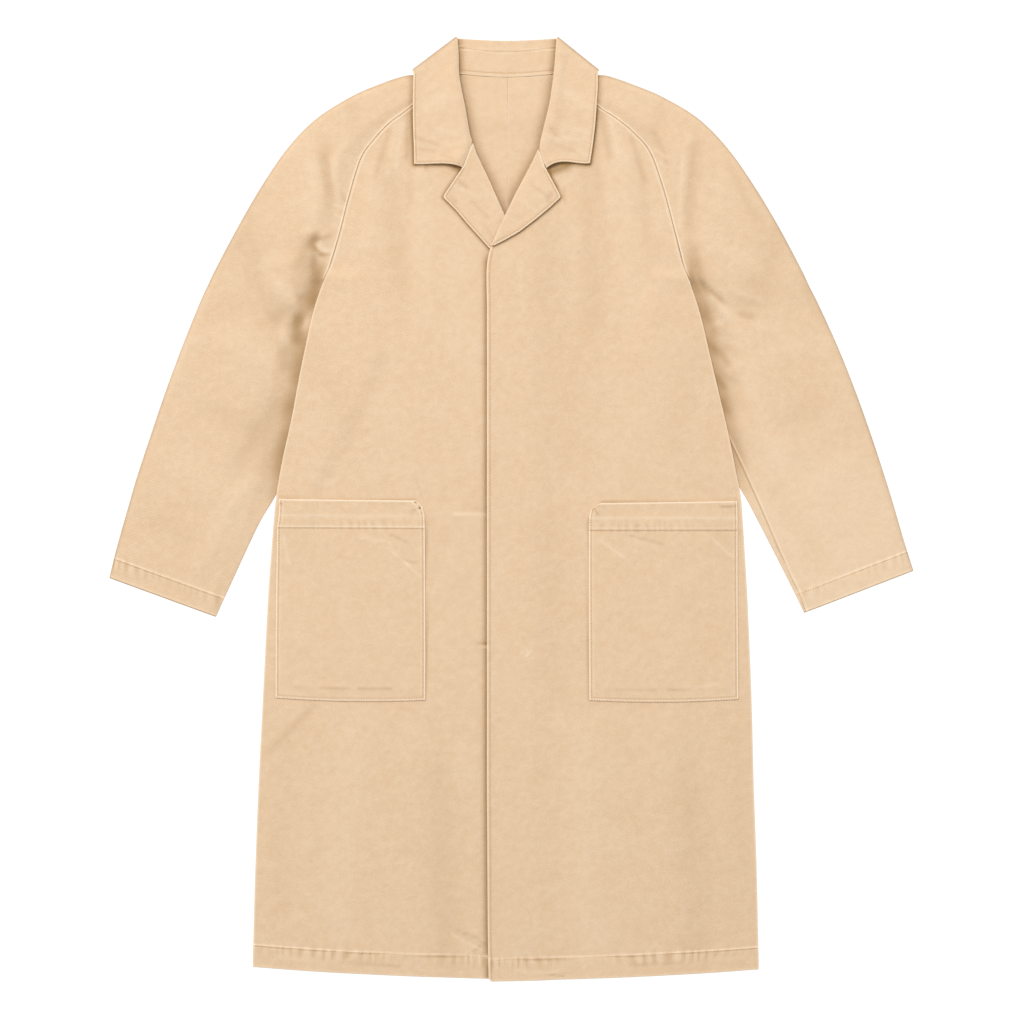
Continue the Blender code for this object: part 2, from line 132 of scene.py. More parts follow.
RAGLAN_RIDGE = ((-0.3, 0, 1.6), (0.35, 3.0, 2.0))
RAGLAN_WEAR_AND_SHADE = ((0.5, 2.6, 1.1), (-0.55, 0, 1.1))
UNDERARM_RIDGE = ((0.6, 0, 1.3), (-0.4, 2.4, 1.2))
UNDERARM_WEAR_AND_SHADE = ((0.7, 0, 0.9), (-0.8, 1.9, 0.9))
CUFF_WEAR_AND_SHADE = ((-1.8, 0.3, 0.9), (0.25, 2.6, 1.0))
STAND_RIDGE = ((0.3, 1.6, 1.3), (-0.35, STAND_STITCH, 0.9))
STAND_WEAR_AND_SHADE = ((0.55, 0.7, 0.8), (-0.15, STAND_STITCH, 0.9))
STAND_TOP_WEAR_AND_SHADE = ((-0.3, -0.2, 0.7), (0.3, 1.4, 0.8))
GORGE_RIDGE = ((-0.2, 0, 0.9), (0.35, 1.8, 1.2))
GORGE_WEAR_AND_SHADE = ((0.8, 1.3, 1.0), (-0.3, 0, 0.8))
BAND_RIDGE = ((-0.45, -0.4, 0.9), (0.25, 14.5, 1.6))
BAND_WEAR_AND_SHADE = ((0.7, 1.4, 1.2), (-0.5, -0.2, 0.9), (0.35, 14.5, 1.8))
POCKET_WEAR_AND_SHADE = ((1.1, 0.9, 1.25), (-0.3, 3.2, 0.8), (0.25, 5.0, 0.9))
# the dents at a pocket's corner: a painted highlight round each and painted shade inside
PIT_LIGHT_AND_SHADE = ((1.2, 0, 3.4), (-3.2, 0, 1.5))

# How far, and how much, painted shade darkens the cloth beside what lies on it and beside folds

PAINTED_SHADE = {
    "collar_on_back": (8.5, 0.48),
    "collar_on_stand": (6.0, 0.7),
    "collar_fold": (2.2, 0.55),
    "leaf_on_front": (3.3, 0.95),
    "lapel_on_front": (2.8, 0.75),
    "front_on_front": (4.5, 0.75),
    "leaf_on_sleeve": (5.0, 0.6),
    "body_on_sleeve": (26.0, 0.16),
    "sleeve_fold": (2.6, 0.4),
}

# Floor, light and camera, in metres: a long lens straight above the middle, which frames 1.28 m

FLOOR_HALF = 4.0
FLOOR_Z = -0.0004
FLOOR_GLOW = 1.06
CAMERA_LENS = 90.0
CAMERA_SENSOR = 36.0
CAMERA_PLACE = (0.00125, -0.00375, 3.2)
SOFTBOX_SIZE = (3.4, 1.8)
SOFTBOX_PLACE = (-1.0, 2.8, 4.35)

# Weave, in millimetres and degrees: real twill lines are 0.5 mm apart, finer than a pixel of the picture

TWILL_GAP = 2.6
TWILL_TURN = 42

# Grid spacing of each piece, from row to row and along a row

GRID = {
    "back": (6.0, 5.0), "front": (3.6, 3.4), "sleeve": (3.8, 3.8), "fall": (2.4, 2.8),
    "stand": (2.6, 2.0), "lapel": (2.4, 2.4), "pocket": (3.0, 3.0),
}

# Grid steps from an edge inwards, close enough together for its roll, its groove and its thread

EDGE_STEPS = (0.0, 0.25, 0.7, 1.2, 1.8, 2.4, 3.0, 3.8, 5.0, 7.0)
PLAIN_STEPS = (0.0, 0.4, 1.2, 2.5, 5.0)
BAND_STEPS = (
    0.0, 0.3, 0.9, 1.7, 2.6, 3.6, 4.7, 5.9, 7.1, 8.3, 9.5, 10.8, 12.4, 14.6, 17.2, 20.0, 23.0, 26.0,
    28.6, 30.6, 32.2, 33.4, 34.3, 35.1, 35.9, 37.0, 38.4, 40.2, 42.6,
)
HEM_STEPS = (
    0.0, 0.25, 0.7, 1.3, 2.2, 3.5, 5.5, 8.0, 10.5, 13.0, 15.5, 18.0, 20.5, 22.5,
    24.0, 25.2, 26.1, 26.8, 27.4, 28.2, 29.2, 30.6, 33.0,
)
CUFF_STEPS = tuple(step * 0.907 for step in HEM_STEPS)
BACK_SEAM_STEPS = (0.0, 0.3, 0.8, 1.6, 3.0, 6.0)
FOLD_STEPS = (0.0, 0.3, 1.0, 2.2, 4.0, 6.5, 9.5)
INNER_STEPS = (0.12, 0.5, 1.0, 1.6, 2.3, 3.2, 4.5, 6.5)
UNDERARM_STEPS = (*INNER_STEPS, *np.arange(7.6, 34, 1.1))
ROLL_STEPS = (0.0, 0.3, 0.9, 1.8, 3.0, 4.5, 6.5)
STAND_STEPS = (0.0, 0.3, 0.8, 1.5, 2.4, 3.4, 4.2, 5.0, 5.8, 7.0)
LAPEL_STEPS = (0.0, 0.4, 1.2, 2.4, 4.0)
LAPEL_ENDS = (0.0, 0.5, 1.5)

# Side lines from neck to hem, as x and y: the first rows follow the raglan seam, the rest the side seam

SIDE_LEFT = (
    (-91, 530), (-122.5, 504), (-139, 491), (-152.5, 481), (-170, 462.5), (-187.5, 437.5), (-202.5, 389),
    (-214, 344), (-226, 304), (-245, 252), (-261, 181), (-274, 112), (-285, 62), (-292, 22), (-296, -14),
    (-302, -89), (-305, -139), (-310, -239), (-315, -339), (-319, -439), (-321.5, -526), (-322.5, -572),
)
SIDE_RIGHT = (
    (81, 530), (109, 502.5), (124, 492.5), (136, 484), (154, 469), (174, 445), (190, 401), (204, 349),
    (215, 306), (235, 247), (252.5, 174), (271, 95), (281, 45), (286.5, 17), (289.5, -20), (294, -89),
    (296.5, -139), (300.5, -239), (303, -339), (306.5, -439), (308.5, -526), (309.5, -575),
)

# Neck edge, roll line and front edge, one row for each row of the side line

CENTRE_LEFT = (
    (-80, 530), (-69, 501), (-58.5, 472.5), (-50, 454), (-38.5, 432), (-27.5, 410), (-13.5, 380),
    (2.5, 344), (15, 304), (15, 252), (15, 181), (15, 112), (15, 62), (15, 22), (15, -14), (15, -89),
    (15, -139), (15, -239), (15, -339), (15, -439), (15, -526), (15, -587),
)
CENTRE_RIGHT = (
    (70, 530), (56, 501), (46, 472.5), (37.5, 454), (26, 431), (15, 410), (0, 380), (-17.5, 344),
    (-29.5, 308), (-30, 247), (-30, 174), (-30, 95), (-30, 45), (-30, 17), (-30, -20), (-30, -89),
    (-30, -139), (-30, -239), (-30, -339), (-29.5, -439), (-29, -526), (-28, -589),
)

# Sleeves, a row for each section from neck to cuff: its outer fold and its inner edge

SLEEVE_LEFT = (
    (-108, 540.5, -92, 531), (-133, 540, -122.5, 504), (-167.5, 528.5, -139, 491),
    (-201, 513.5, -152.5, 481), (-243.5, 486, -170, 462.5), (-278.5, 450, -187.5, 437.5),
    (-311, 402.5, -202.5, 389), (-342, 349, -214, 344), (-367.5, 301, -226, 304),
    (-373, 290, -231.5, 289.5), (-377.5, 280, -234.5, 281), (-381, 273, -229.5, 271),
    (-391, 250, -224, 251), (-411, 200, -207.5, 196), (-431, 146, -229, 141), (-450, 90, -261, 77.5),
    (-466.5, 40, -295, 15), (-475, 11, -316, -21), (-491.4, -47, -351.9, -98), (-501, -86, -368.5, -134.5),
)
SLEEVE_RIGHT = (
    (98, 540.5, 82, 531), (120.5, 540, 109, 502.5), (155, 528.5, 124, 492.5), (190, 513.5, 136, 484),
    (233.5, 487, 154, 469), (270, 450, 174, 445), (303.5, 402.5, 190, 401), (335, 350, 204, 349),
    (361, 301, 215, 306), (366.5, 290, 220.8, 290), (371, 280, 224.2, 281), (375, 272, 220, 271),
    (386, 250, 214, 251), (409, 199, 197.5, 196), (430, 146, 221, 141), (450, 90, 254, 77.5),
    (466, 41, 289, 21), (476, 9, 306, -10), (489.9, -38.7, 348.6, -93.4), (502, -77, 366, -129.5),
)

# For each section of both sleeves: 1 where it is sewn to the body, the height of its closed edge, its
# flat share, and its crown's height

SLEEVE_SECTIONS = (
    (1, 0, 0.0, 6.2), (1, 0, 0.0, 6.4), (1, 0, 0.0, 8.0), (1, 0, 0.0, 9.0), (1, 0, 0.0, 10.0),
    (1, 0, 0.0, 10.5), (1, 0, 0.0, 11.0), (1, 0, 0.0, 11.0), (1, 0, 0.0, 10.5), (0.5, 3.4, 0.0, 10.4),
    (0, 2.6, 0.03, 10.2), (0, 2.4, 0.08, 10.0), (0, 2.4, 0.20, 10.0), (0, 2.4, 0.30, 10.0),
    (0, 2.4, 0.25, 9.5), (0, 2.4, 0.16, 9.0), (0, 2.6, 0.05, 9.0), (0, 4.0, 0.0, 8.5), (0, 4.4, 0.0, 8.0),
    (0, 4.6, 0.0, 7.5),
)

# Collar fall from centre back, round the shoulder fold, to the end of the front leaf: the roll line,
# the outer edge and the heights of both

FALL_LEFT = (
    (-26, 585.3, -29, 510, 0.8, 0.8), (-47.5, 586.6, -60, 511, 0.8, 0.8), (-61, 587.6, -94, 520, 0.8, 0.8),
    (-66.5, 588, -118, 542, 0.8, 0.8), (-68.5, 589, -123.2, 547.5, 2.8, 4.6),
    (-67, 587, -121.5, 544, 5.2, 8.6), (-65.5, 566, -122, 523.5, 6.2, 8.8),
    (-65, 544, -122.2, 501, 7.6, 8.8), (-61.5, 521, -122, 479, 9.2, 8.6),
    (-57.5, 502.5, -121.6, 466, 9.3, 8.2), (-51.5, 468, -121, 451, 8.4, 7.9),
    (-49, 457.5, -120.8, 441, 8.3, 7.8), (-54, 443, -120.7, 434, 8.3, 7.8),
    (-61, 426, -120.6, 430, 8.2, 7.8),
)
FALL_RIGHT = (
    (17, 585.3, 20, 510, 0.8, 0.8), (38.5, 586.6, 51, 511, 0.8, 0.8), (51, 587.6, 86, 520, 0.8, 0.8),
    (56.5, 588, 105, 542, 0.8, 0.8), (58.5, 589, 109.8, 547.5, 2.8, 4.6), (57, 587, 108.5, 544, 5.2, 8.6),
    (55.5, 566, 108, 523.5, 6.2, 8.8), (53.5, 544, 106.5, 501, 7.6, 8.8), (50.5, 521, 104.9, 479, 9.2, 8.6),
    (47.5, 502.5, 103.4, 466, 9.3, 8.2), (39, 468, 101.5, 451, 8.4, 7.9), (35.8, 450, 100, 441, 8.4, 7.8),
    (39.8, 436, 99.2, 436, 8.3, 7.8), (44.4, 425, 98.4, 431, 8.2, 7.8),
)

# Lapels from the gorge, round the tip, to the break: the roll line and the outer edge

LAPEL_LEFT = (
    (-47.6, 457, -49.6, 453.4), (-42.5, 442.5, -60.6, 425.2), (-31, 418.5, -85, 389),
    (-22.5, 400, -68.5, 372.5), (-14, 380, -52.5, 353.5), (-5, 361, -38.5, 338), (3.5, 341.5, -25, 323),
)
LAPEL_RIGHT = (
    (33.8, 448.6, 36.4, 445), (27.5, 435, 43.4, 424.4), (15, 411, 62.5, 389), (6, 394, 47.5, 375),
    (-3, 375, 31, 361), (-14, 352.5, 11, 345.5), (-20.5, 337.5, -7.5, 335), (-25, 327.5, -21.5, 328),
)

# The stand's lower and upper edge, from left to right

STAND = (
    (-74, 544.5, -65, 586.8), (-60, 542.8, -55, 586.6), (-32, 540.2, -30, 585.3),
    (-4.4, 539.2, -4.4, 584.7), (23, 540.4, 21, 585.3), (50, 542.8, 45, 586.6), (64, 544.5, 55.5, 586.8),
)

# The pockets' left and right edge, from top to bottom

POCKET_LEFT = (
    (-290, 12.5, -119, 10.8), (-289.5, 5, -110.3, 3.2), (-289.5, -7, -107.5, -8), (-292, -23, -107.2, -24),
    (-293.5, -110, -106.8, -110), (-294, -180, -106.6, -180), (-294, -236.8, -106.8, -239.6),
)
POCKET_RIGHT = (
    (111.5, 7.5, 282, 10), (99, -0.5, 282.5, 2), (97.5, -9, 282.8, -8), (97, -26, 283, -26),
    (97, -110, 283.2, -110), (97.3, -180, 283.6, -180), (97.6, -239.8, 284, -238.6),
)

# Creases listed one by one: start and end, half width, and height, which is below zero for a trough

FRONT_CREASES = (
    (-76, -530, -36, -550, 2.6, -0.7), (-48, -553, -33, -541, 2.6, 0.7), (-60, -528, -40, -536, 3, 0.5),
    (42, -578, 66, -582, 2.4, -0.6), (10, -577, 60, -578, 2.6, 0.4), (-110, -578, -60, -580, 2.6, 0.4),
    (-117, 36, -110, 14, 3, -0.25), (-106, 60, -96, 20, 8, 0.4), (-60, 420, -66, 400, 3, -0.4),
    (66, 425, 84, 300, 7, 0.4), (120, -520, 150, -545, 4, 0.5), (180, -540, 230, -552, 4, -0.4),
    (-112, 430, -104, 250, 11, 1.0), (-150, 420, -140, 280, 14, -0.9), (95, 425, 105, 230, 12, -0.8),
    (140, 440, 150, 260, 14, 0.9), (-127, 500, -124, 380, 6, -0.9), (104, 500, 110, 390, 6, -0.8),
    (-172, 420, -178, 330, 8, 0.7), (160, 430, 172, 330, 8, -0.7), (120, 470, 128, 360, 6, 0.6),
    (-140, 490, -152, 420, 5, 0.7), (118, 500, 126, 440, 4, -0.6), (134, 480, 146, 420, 5, 0.6),
    (-200, -300, -215, -520, 22, 1.0), (-90, -320, -80, -560, 20, -0.9), (90, -300, 100, -560, 22, 1.0),
    (220, -320, 235, -540, 20, -0.9), (-72, -7.5, -33, -7, 3.2, 0.75), (-44, -1.5, -33, -2, 5, -0.7),
    (-44, -168, -34, -168, 4, -0.4), (-41, 182, -34, 183, 4, -0.3), (13, -172, 27, -183, 3.4, 0.5),
    (14, -184, 26, -171, 3.4, 0.5), (20, -168, 20, -188, 3.2, -0.4), (-120, -299, -40, -300, 3.4, 0.35),
    (-92, -315, -66, -314, 3.4, 0.3), (40, -270, 66, -273, 3.4, 0.3), (-246, 38, -224, 30, 5, 0.4),
    (-240, 30, -226, 44, 5, -0.35), (-60, 300, -40, 120, 30, 0.5), (60, 300, 70, 90, 34, -0.45),
    (-160, 120, -130, 60, 26, 0.4), (170, 140, 130, 40, 30, 0.4), (-30, -60, -20, -240, 24, 0.35),
    (50, -40, 60, -220, 26, -0.4), (-180, -260, -60, -330, 24, 0.3), (70, -255, 210, -320, 26, 0.3),
    (-250, 200, -210, 120, 20, -0.5), (232, 190, 205, 110, 20, -0.5), (-280, -300, -288, -480, 16, -0.4),
    (282, -300, 290, -480, 16, -0.4), (-121, 380, -117, 300, 6, 0.35), (118, 385, 121, 290, 6, -0.35),
    (-75, 425, -80, 400, 6, -0.4),
)
SLEEVE_CREASES = (
    # left: the gathered cloth beside the underarm
    (-243, 334, -236, 322, 5.5, -2.6), (-238, 330, -234, 318, 4.0, 2.2), (-250, 344, -236, 340, 6, 1.6),
    (-244, 300, -250, 262, 8, -2.6), (-294, 281, -262, 246, 9, 2.0), (-262, 262, -250, 236, 6, -1.6),
    (-268, 236, -262, 216, 6, -2.2), (-256, 252, -272, 238, 5, 1.8), (-266, 206, -276, 176, 7, -1.8),
    (-282, 214, -262, 196, 6, 1.5), (-232, 438, -226, 378, 10, -1.3), (-220, 430, -214, 372, 6, 0.9),
    (-250, 430, -246, 370, 12, 0.9), (-272, 156, -284, 122, 8, -1.3), (-290, 170, -270, 150, 7, 1.0),
    (-300, 120, -330, 60, 16, -1.6), (-380, 330, -420, 180, 22, 1.4), (-330, 20, -380, -60, 15, 1.2),
    (-246, 320, -296, 304, 10, 1.2), (-330, 330, -300, 250, 20, -1.2), (-350, 210, -300, 180, 16, 1.0),
    (-370, 120, -330, 100, 14, -0.9), (-420, 60, -370, 20, 16, 0.8), (-440, -20, -400, -40, 14, -0.7),
    (-270, 440, -262, 380, 16, 0.6), (-200, 500, -190, 470, 9, -0.7), (-176, 508, -168, 486, 7, 0.6),
    (-340, 250, -420, 230, 16, -0.6), (-320, 60, -350, 0, 9, 0.7), (-345, -10, -372, -70, 8, -0.6),
    # right: the long crease from the shoulder and the gathers below it
    (223, 458, 213, 336, 5, 1.0), (231, 446, 221, 350, 9, -1.7), (227, 318, 240, 252, 9, -2.6),
    (228, 296, 227, 276, 6, -1.8), (250, 262, 266, 243, 5, 2.0), (240, 250, 252, 232, 6, -1.4),
    (250, 212, 254, 196, 6, -2.2), (259, 162, 262, 146, 6, -2.0), (268, 136, 270, 122, 6, -1.7),
    (256, 186, 272, 176, 6, 1.4), (264, 206, 285, 170, 9, -1.3), (278, 232, 296, 206, 8, 1.2),
    (300, 150, 330, 70, 16, 1.4), (390, 300, 425, 160, 22, 1.4), (330, 20, 380, -60, 15, -1.2),
    (246, 330, 300, 300, 12, 1.1), (330, 330, 300, 260, 20, -1.2), (350, 200, 300, 180, 15, 1.0),
    (370, 120, 330, 100, 14, -0.9), (420, 60, 380, 20, 16, 0.8), (450, -20, 410, -35, 14, -0.7),
    (268, 430, 262, 380, 16, 0.8), (190, 498, 182, 470, 9, -0.7), (286, 120, 300, 80, 7, 0.7),
    (274, 100, 292, 56, 5, -0.8), (320, 270, 400, 250, 16, -0.6), (206, 440, 200, 420, 6, 0.6),
    (240, 280, 264, 258, 4, -1.1), (278, 272, 306, 261, 5, 0.9), (286, 243, 300, 239, 5, -0.5),
    (262, 250, 276, 238, 4, 0.9), (288, 256, 320, 252, 6, -0.5), (300, 228, 330, 222, 8, 0.6),
)
POCKET_CREASES = (
    (-147, -54, -112, -84, 2.6, 0.6), (-140, -62, -118, -68, 2.6, -0.5), (-186, -36, -150, -42, 3, 0.5),
    (-156, -34, -128, -44, 3, -0.4), (-284, -30, -276, -70, 3.5, 0.4), (-230, -40, -200, -60, 6, 0.4),
    (112, -40, 140, -60, 3, 0.5), (150, -34, 190, -44, 3, -0.4), (250, -36, 276, -60, 3, 0.5),
    (120, -222, 150, -230, 4, 0.4), (-270, -222, -230, -228, 4, 0.4), (230, -224, 262, -216, 4, -0.4),
    (-122, 6, -112, -1, 3.2, 0.7), (-121, -4, -124, -12, 3.0, -0.4), (-170, 2, -130, 3, 5, -0.4),
    (-160, -52, -120, -80, 9, 0.45), (110, -2, 104, -10, 3.2, 0.6), (160, -2, 250, 0, 6, -0.3),
    (-270, -60, -150, -90, 22, 0.35), (-220, -120, -240, -200, 18, -0.35), (-140, -60, -130, -190, 14, 0.3),
    (150, -60, 250, -100, 22, 0.35), (230, -120, 240, -210, 18, -0.35), (125, -50, 130, -190, 14, 0.3),
)

# Small marks on the fronts and pockets: painted highlights above zero and painted shade below it, along
# creases and beside edges

FRONT_PAINTED_LIGHT_AND_SHADE = (
    (-70, -6.6, -33, -7.4, 1.0, 0.5), (-70, -4.2, -36, -4.6, 1.3, -0.2), (14, -178, 27, -185, 1.2, 0.35),
    (15, -186, 26, -176, 1.1, 0.3), (20, -174, 21, -190, 1.3, 0.15), (-37, 183, -31, 183, 1.3, -0.4),
    (-42, -167, -31, -168, 1.2, -0.35), (-38, -170, -31, -171, 1.3, 0.5), (-74, -531, -38, -549, 1.4, 0.45),
    (-46, -551, -33, -541, 1.5, -0.35), (-66, -526, -40, -536, 2.0, -0.25), (42, -579, 64, -583, 1.3, -0.3),
    (8, -576, 58, -577.5, 1.4, 0.35), (-118, 36, -111, 14, 1.6, -0.12), (84, 322, 85, 320, 1.1, -0.3),
    (-110, 470, -106, 424, 2.5, -0.2), (-128, 494, -130, 440, 4, -0.2), (112, 494, 122, 440, 4, -0.22),
    (-152, 470, -170, 416, 4, -0.16), (150, 462, 166, 412, 4, -0.16), (-136, 482, -144, 430, 3, 0.2),
    (124, 486, 134, 440, 3, 0.2), (-250, -250, -300, -300, 5, -0.15), (-60, 396, -62, 378, 2, -0.2),
    (66, 400, 68, 384, 2, -0.2), (10, 300, 16, 250, 3, 0.15), (-200, -566, -140, -570, 2, -0.2),
    (150, -568, 210, -566, 2, -0.2), (-290, -560, -250, -562, 2, 0.2), (250, -562, 290, -560, 2, 0.2),
    (45, 419, 68, 427, 5.5, -0.75), (46, 417, 56, 402, 3, -0.4), (-61, 422, -70, 424, 3.5, -0.5),
    (-288, 14.0, -120, 12.4, 1.2, -0.4), (113, 9.0, 282, 11.5, 1.2, -0.35),
    (-105.6, -4, -105.4, -238, 1.1, -0.35), (95.8, -14, 96.2, -238, 1.1, -0.3),
)
POCKET_PAINTED_LIGHT_AND_SHADE = (
    (-147, -54, -113, -84, 1.4, 0.4), (-140, -62, -118, -68, 1.6, -0.25), (-186, -36, -150, -42, 1.6, 0.3),
    (-150, -32, -128, -42, 1.6, -0.2), (-283, -34, -278, -66, 2, 0.3), (-240, -224, -200, -223, 1.2, -0.25),
    (-289.5, 6.8, -286.5, 6.6, 1.2, -0.7), (-115, 0.5, -121, -1, 1.2, -0.35),
    (-122.4, -2.5, -124, -9, 1.4, -0.12), (112, -40, 140, -60, 1.6, 0.35), (150, -34, 190, -44, 1.6, -0.2),
    (252, -38, 276, -60, 1.8, 0.3), (102, 2, 108, -6, 1.8, -0.4), (262, 3, 279, 3.4, 1.3, -0.4),
    (130, -224, 180, -225, 1.2, -0.25), (226, -224, 256, -218, 2, 0.25),
    (-270, -223, -248, -224, 1.2, -0.25), (-190, -224, -150, -224, 1.2, -0.25),
    (196, -226, 236, -226, 1.2, -0.25),
)

# Painted shade in the folds beside the underarms below zero, and painted highlights on their ridges above
# zero

SLEEVE_PAINTED_LIGHT_AND_SHADE = (
    (-243, 341, -249, 332, 5, -0.42), (-239, 337, -228, 340, 3.5, -0.32), (-239, 328, -231, 323, 3.6, 0.5),
    (-244, 325, -236, 317.5, 2.6, -0.5), (-236, 317.5, -229, 318, 2.6, -0.5),
    (-246, 326, -246.5, 299, 4.5, -0.32), (-252, 330, -262, 312, 9, -0.22), (-236, 300, -240, 284, 5, -0.3),
    (-242, 290, -246, 259, 6, -0.8), (-249, 262, -264, 238, 8, -0.55), (-265, 234, -268, 214, 7, -0.8),
    (-257, 233, -262, 226, 5, 0.35), (-276, 250, -292, 240, 9, -0.22), (-258, 322, -262, 268, 14, -0.14),
    (-284, 196, -290, 176, 8, -0.2), (-232, 436, -226, 402, 8, -0.15), (-222, 432, -216, 396, 4, 0.2),
    (-246, 424, -242, 396, 6, 0.15), (-214, 396, -206, 384, 3, -0.2), (223, 291, 232, 274, 3.6, -0.4),
    (228, 308, 236, 282, 8, -0.16), (244, 240, 254, 222, 6, -0.25), (246, 207, 254, 199, 4, -0.45),
    (256, 162, 264, 154, 4.5, -0.6), (264, 133, 268, 124, 4, -0.45), (252, 230, 268, 236, 4, 0.22),
    (262, 212, 280, 208, 4, 0.18), (262, 196, 270, 182, 4, -0.22), (276, 190, 284, 180, 5, 0.18),
    (272, 164, 284, 158, 4, -0.15), (222, 450, 216, 372, 5, -0.1), (214, 440, 209, 352, 2.6, 0.2),
    (190, 445, 196, 425, 3, -0.15), (178, 470, 186, 455, 4, -0.15), (241, 279, 262, 262, 3, -0.28),
    (288, 242, 298, 240, 4, -0.18), (267, 432, 307, 361, 7, -0.1), (361, 286, 388, 228, 6, -0.1),
    (-307, 400, -330, 366, 6, -0.1), (-352, 330, -380, 280, 7, -0.1), (-218, 379, -208, 375, 1.8, 0.3),
    (-219, 367, -210, 362, 1.8, 0.3), (-221, 355, -214, 350, 1.8, 0.25), (182, 446, 192, 440, 1.8, 0.25),
    (185, 432, 195, 427, 1.8, 0.2),
)

# Creases of the collar and the lapels

LEAF_CREASES = (
    (-114, 461, -93, 455, 2.6, -0.35), (-76, 452.5, -60, 457.5, 2.4, 0.4), (-89, 474, -64, 465, 3.2, 0.35),
    (-112, 448, -96, 446, 2.2, -0.3), (-106, 500, -84, 512, 7, 0.35), (-84, 440, -72, 436, 2.0, -0.3),
    (40, 461, 94, 461, 2.6, 0.4), (49, 474, 57, 465, 2.2, -0.4), (58, 452, 78, 447, 2.4, -0.35),
    (66, 476, 92, 470, 3.0, 0.35), (84, 448, 92, 440, 2.2, 0.3), (66, 520, 88, 506, 8, 0.35),
)
STAND_CREASES = (
    (-59, 582, -61, 546, 3.5, -0.7), (49, 582, 51, 546, 3.5, -0.7), (-30, 575, -28, 550, 8, 0.3),
)
LAPEL_CREASES = (
    (-39, 407, -14, 383, 1.8, 0.3), (-48, 382, -30, 365, 2.2, -0.3), (-60, 398, -48, 392, 2.0, 0.3),
    (28, 402, 45, 390, 2.2, -0.3), (14, 384, 30, 372, 2.2, 0.3), (-30, 350, -22, 338, 2.0, -0.25),
    (-62, 406, -57, 402, 3.2, -0.5), (-75, 388, -70, 384, 3.2, -0.4), (50, 392, 46, 384, 3.2, -0.4),
)

# The stand's upper seam, the dents at the left pocket's corner, the seam that shows below the right
# underarm, the short bars of thread at the pockets' corners, and where the front's and lapels' thread ends

STAND_TOP_LINE = ((-65, 576.3), (-35, 573), (-5, 570.7), (26, 573), (56.3, 576.3))
POCKET_PITS = ((-119.4, 8.2), (-113.8, 1.2))
UNDERARM_SEAM = (
    (271, 95), (290, 55), (308.5, 14), (333.5, -44), (351, -83), (360, -101), (370, -128),
)
POCKET_BARS = {LEFT: [(-108.4, -13), (-107.0, -19)], RIGHT: [(98.2, -11), (98.4, -23)]}
EDGE_THREAD = (322, -586)
LAPEL_THREAD_TOP = {LEFT: 425, RIGHT: 424}

# Waves of washed cloth: length, direction in degrees, phase and height

WAVES = (
    (118, 12, 0.4, 0.16), (74, 101, 2.1, 0.10), (53, 63, 1.2, 0.07), (37, 148, 4.0, 0.05),
    (91, 171, 5.2, 0.10),
)

# The tables of both sides

SIDE = {LEFT: SIDE_LEFT, RIGHT: SIDE_RIGHT}
CENTRE = {LEFT: CENTRE_LEFT, RIGHT: CENTRE_RIGHT}
SLEEVE = {LEFT: SLEEVE_LEFT, RIGHT: SLEEVE_RIGHT}
FALL = {LEFT: FALL_LEFT, RIGHT: FALL_RIGHT}
LAPEL = {LEFT: LAPEL_LEFT, RIGHT: LAPEL_RIGHT}
POCKET = {LEFT: POCKET_LEFT, RIGHT: POCKET_RIGHT}


def ramp(start, end, value):
    """0 at start, 1 at end, with the soft curve 3s^2 - 2s^3 between them."""
    share = np.clip((value - start) / (end - start), 0, 1)
    return share * share * (3 - 2 * share)


def bell(value, half_width):
    """1 at zero, falling off as exp(-(value / half_width)^2)."""
    return np.exp(-((value / half_width) ** 2))


def profile(distance, bells):
    """The cross-section of a seam: a sum of bells."""
    return sum(height * bell(distance - place, half_width) for height, place, half_width in bells)


def curl(distance, radius):
    """1 at an edge and 0 from one radius in, along a quarter of an ellipse."""
    return 1 - np.sqrt(np.clip(1 - (1 - np.minimum(distance / radius, 1)) ** 2, 0, 1))


def curved(table, places):
    """A table read at any place between its rows, along the cubic curve that passes through every row."""
    rows = np.array(table, float)
    padded = np.vstack([2 * rows[0] - rows[1], rows, 2 * rows[-1] - rows[-2]])
    first = np.minimum(places.astype(int), len(rows) - 2)
    t = (places - first)[:, None]
    a, b, c, d = (padded[first + k] for k in range(4))
    return b + t * (c - a) / 2 + t * t * (a - 2.5 * b + 2 * c - d / 2) + t**3 * (1.5 * (b - c) + (d - a) / 2)


def straight(table, places):
    """A table read at any place between its rows, along straight lines, which keeps its corners."""
    rows = np.array(table, float)
    return np.stack([np.interp(places, np.arange(len(rows)), column) for column in rows.T], axis=1)


def stepped(length, spacing, head, tail):
    """Distances from 0 to length: the head steps, then equal steps of about spacing, then the tail steps."""
    middle = max(int((length - head[-1] - tail[-1]) / spacing), 2)
    between = np.linspace(head[-1], length - tail[-1], middle + 1)
    return np.concatenate([head[:-1], between, length - np.array(tail[:-1])[::-1]])


def places_along(table, spacing, head=(0.0,), tail=(0.0,), read=curved, column=0):
    """Places between a table's rows that lie the wanted steps apart along the line of two of its columns."""
    dense = np.linspace(0, len(table) - 1, 30 * (len(table) - 1) + 1)
    line = read(table, dense)[:, column:column + 2]
    length = np.concatenate([[0], np.cumsum(np.linalg.norm(np.diff(line, axis=0), axis=1))])
    return np.interp(stepped(length[-1], spacing, head, tail), length, dense)


def ruled(start, end, spacing, head=(0.0,), tail=(0.0,)):
    """Points on straight rows from start to end, with the distance of each from both ends."""
    along = end - start
    width = np.linalg.norm(along, axis=1)[:, None]
    middle = max(int((width.max() - head[-1] - tail[-1]) / spacing), 2)
    shares = np.linspace(0, 1, middle + 1)
    fit = np.minimum(1, width / (1.3 * (head[-1] + tail[-1]) + 0.01))
    between = fit * head[-1] + (width - fit * (head[-1] + tail[-1])) * shares
    first = fit * np.array(head[:-1])
    last = width - fit * np.array(tail[:-1])[::-1]
    distance = np.hstack([first, between, last])
    points = start[:, None] + along[:, None] * (distance / width)[..., None]
    return points, distance, width - distance


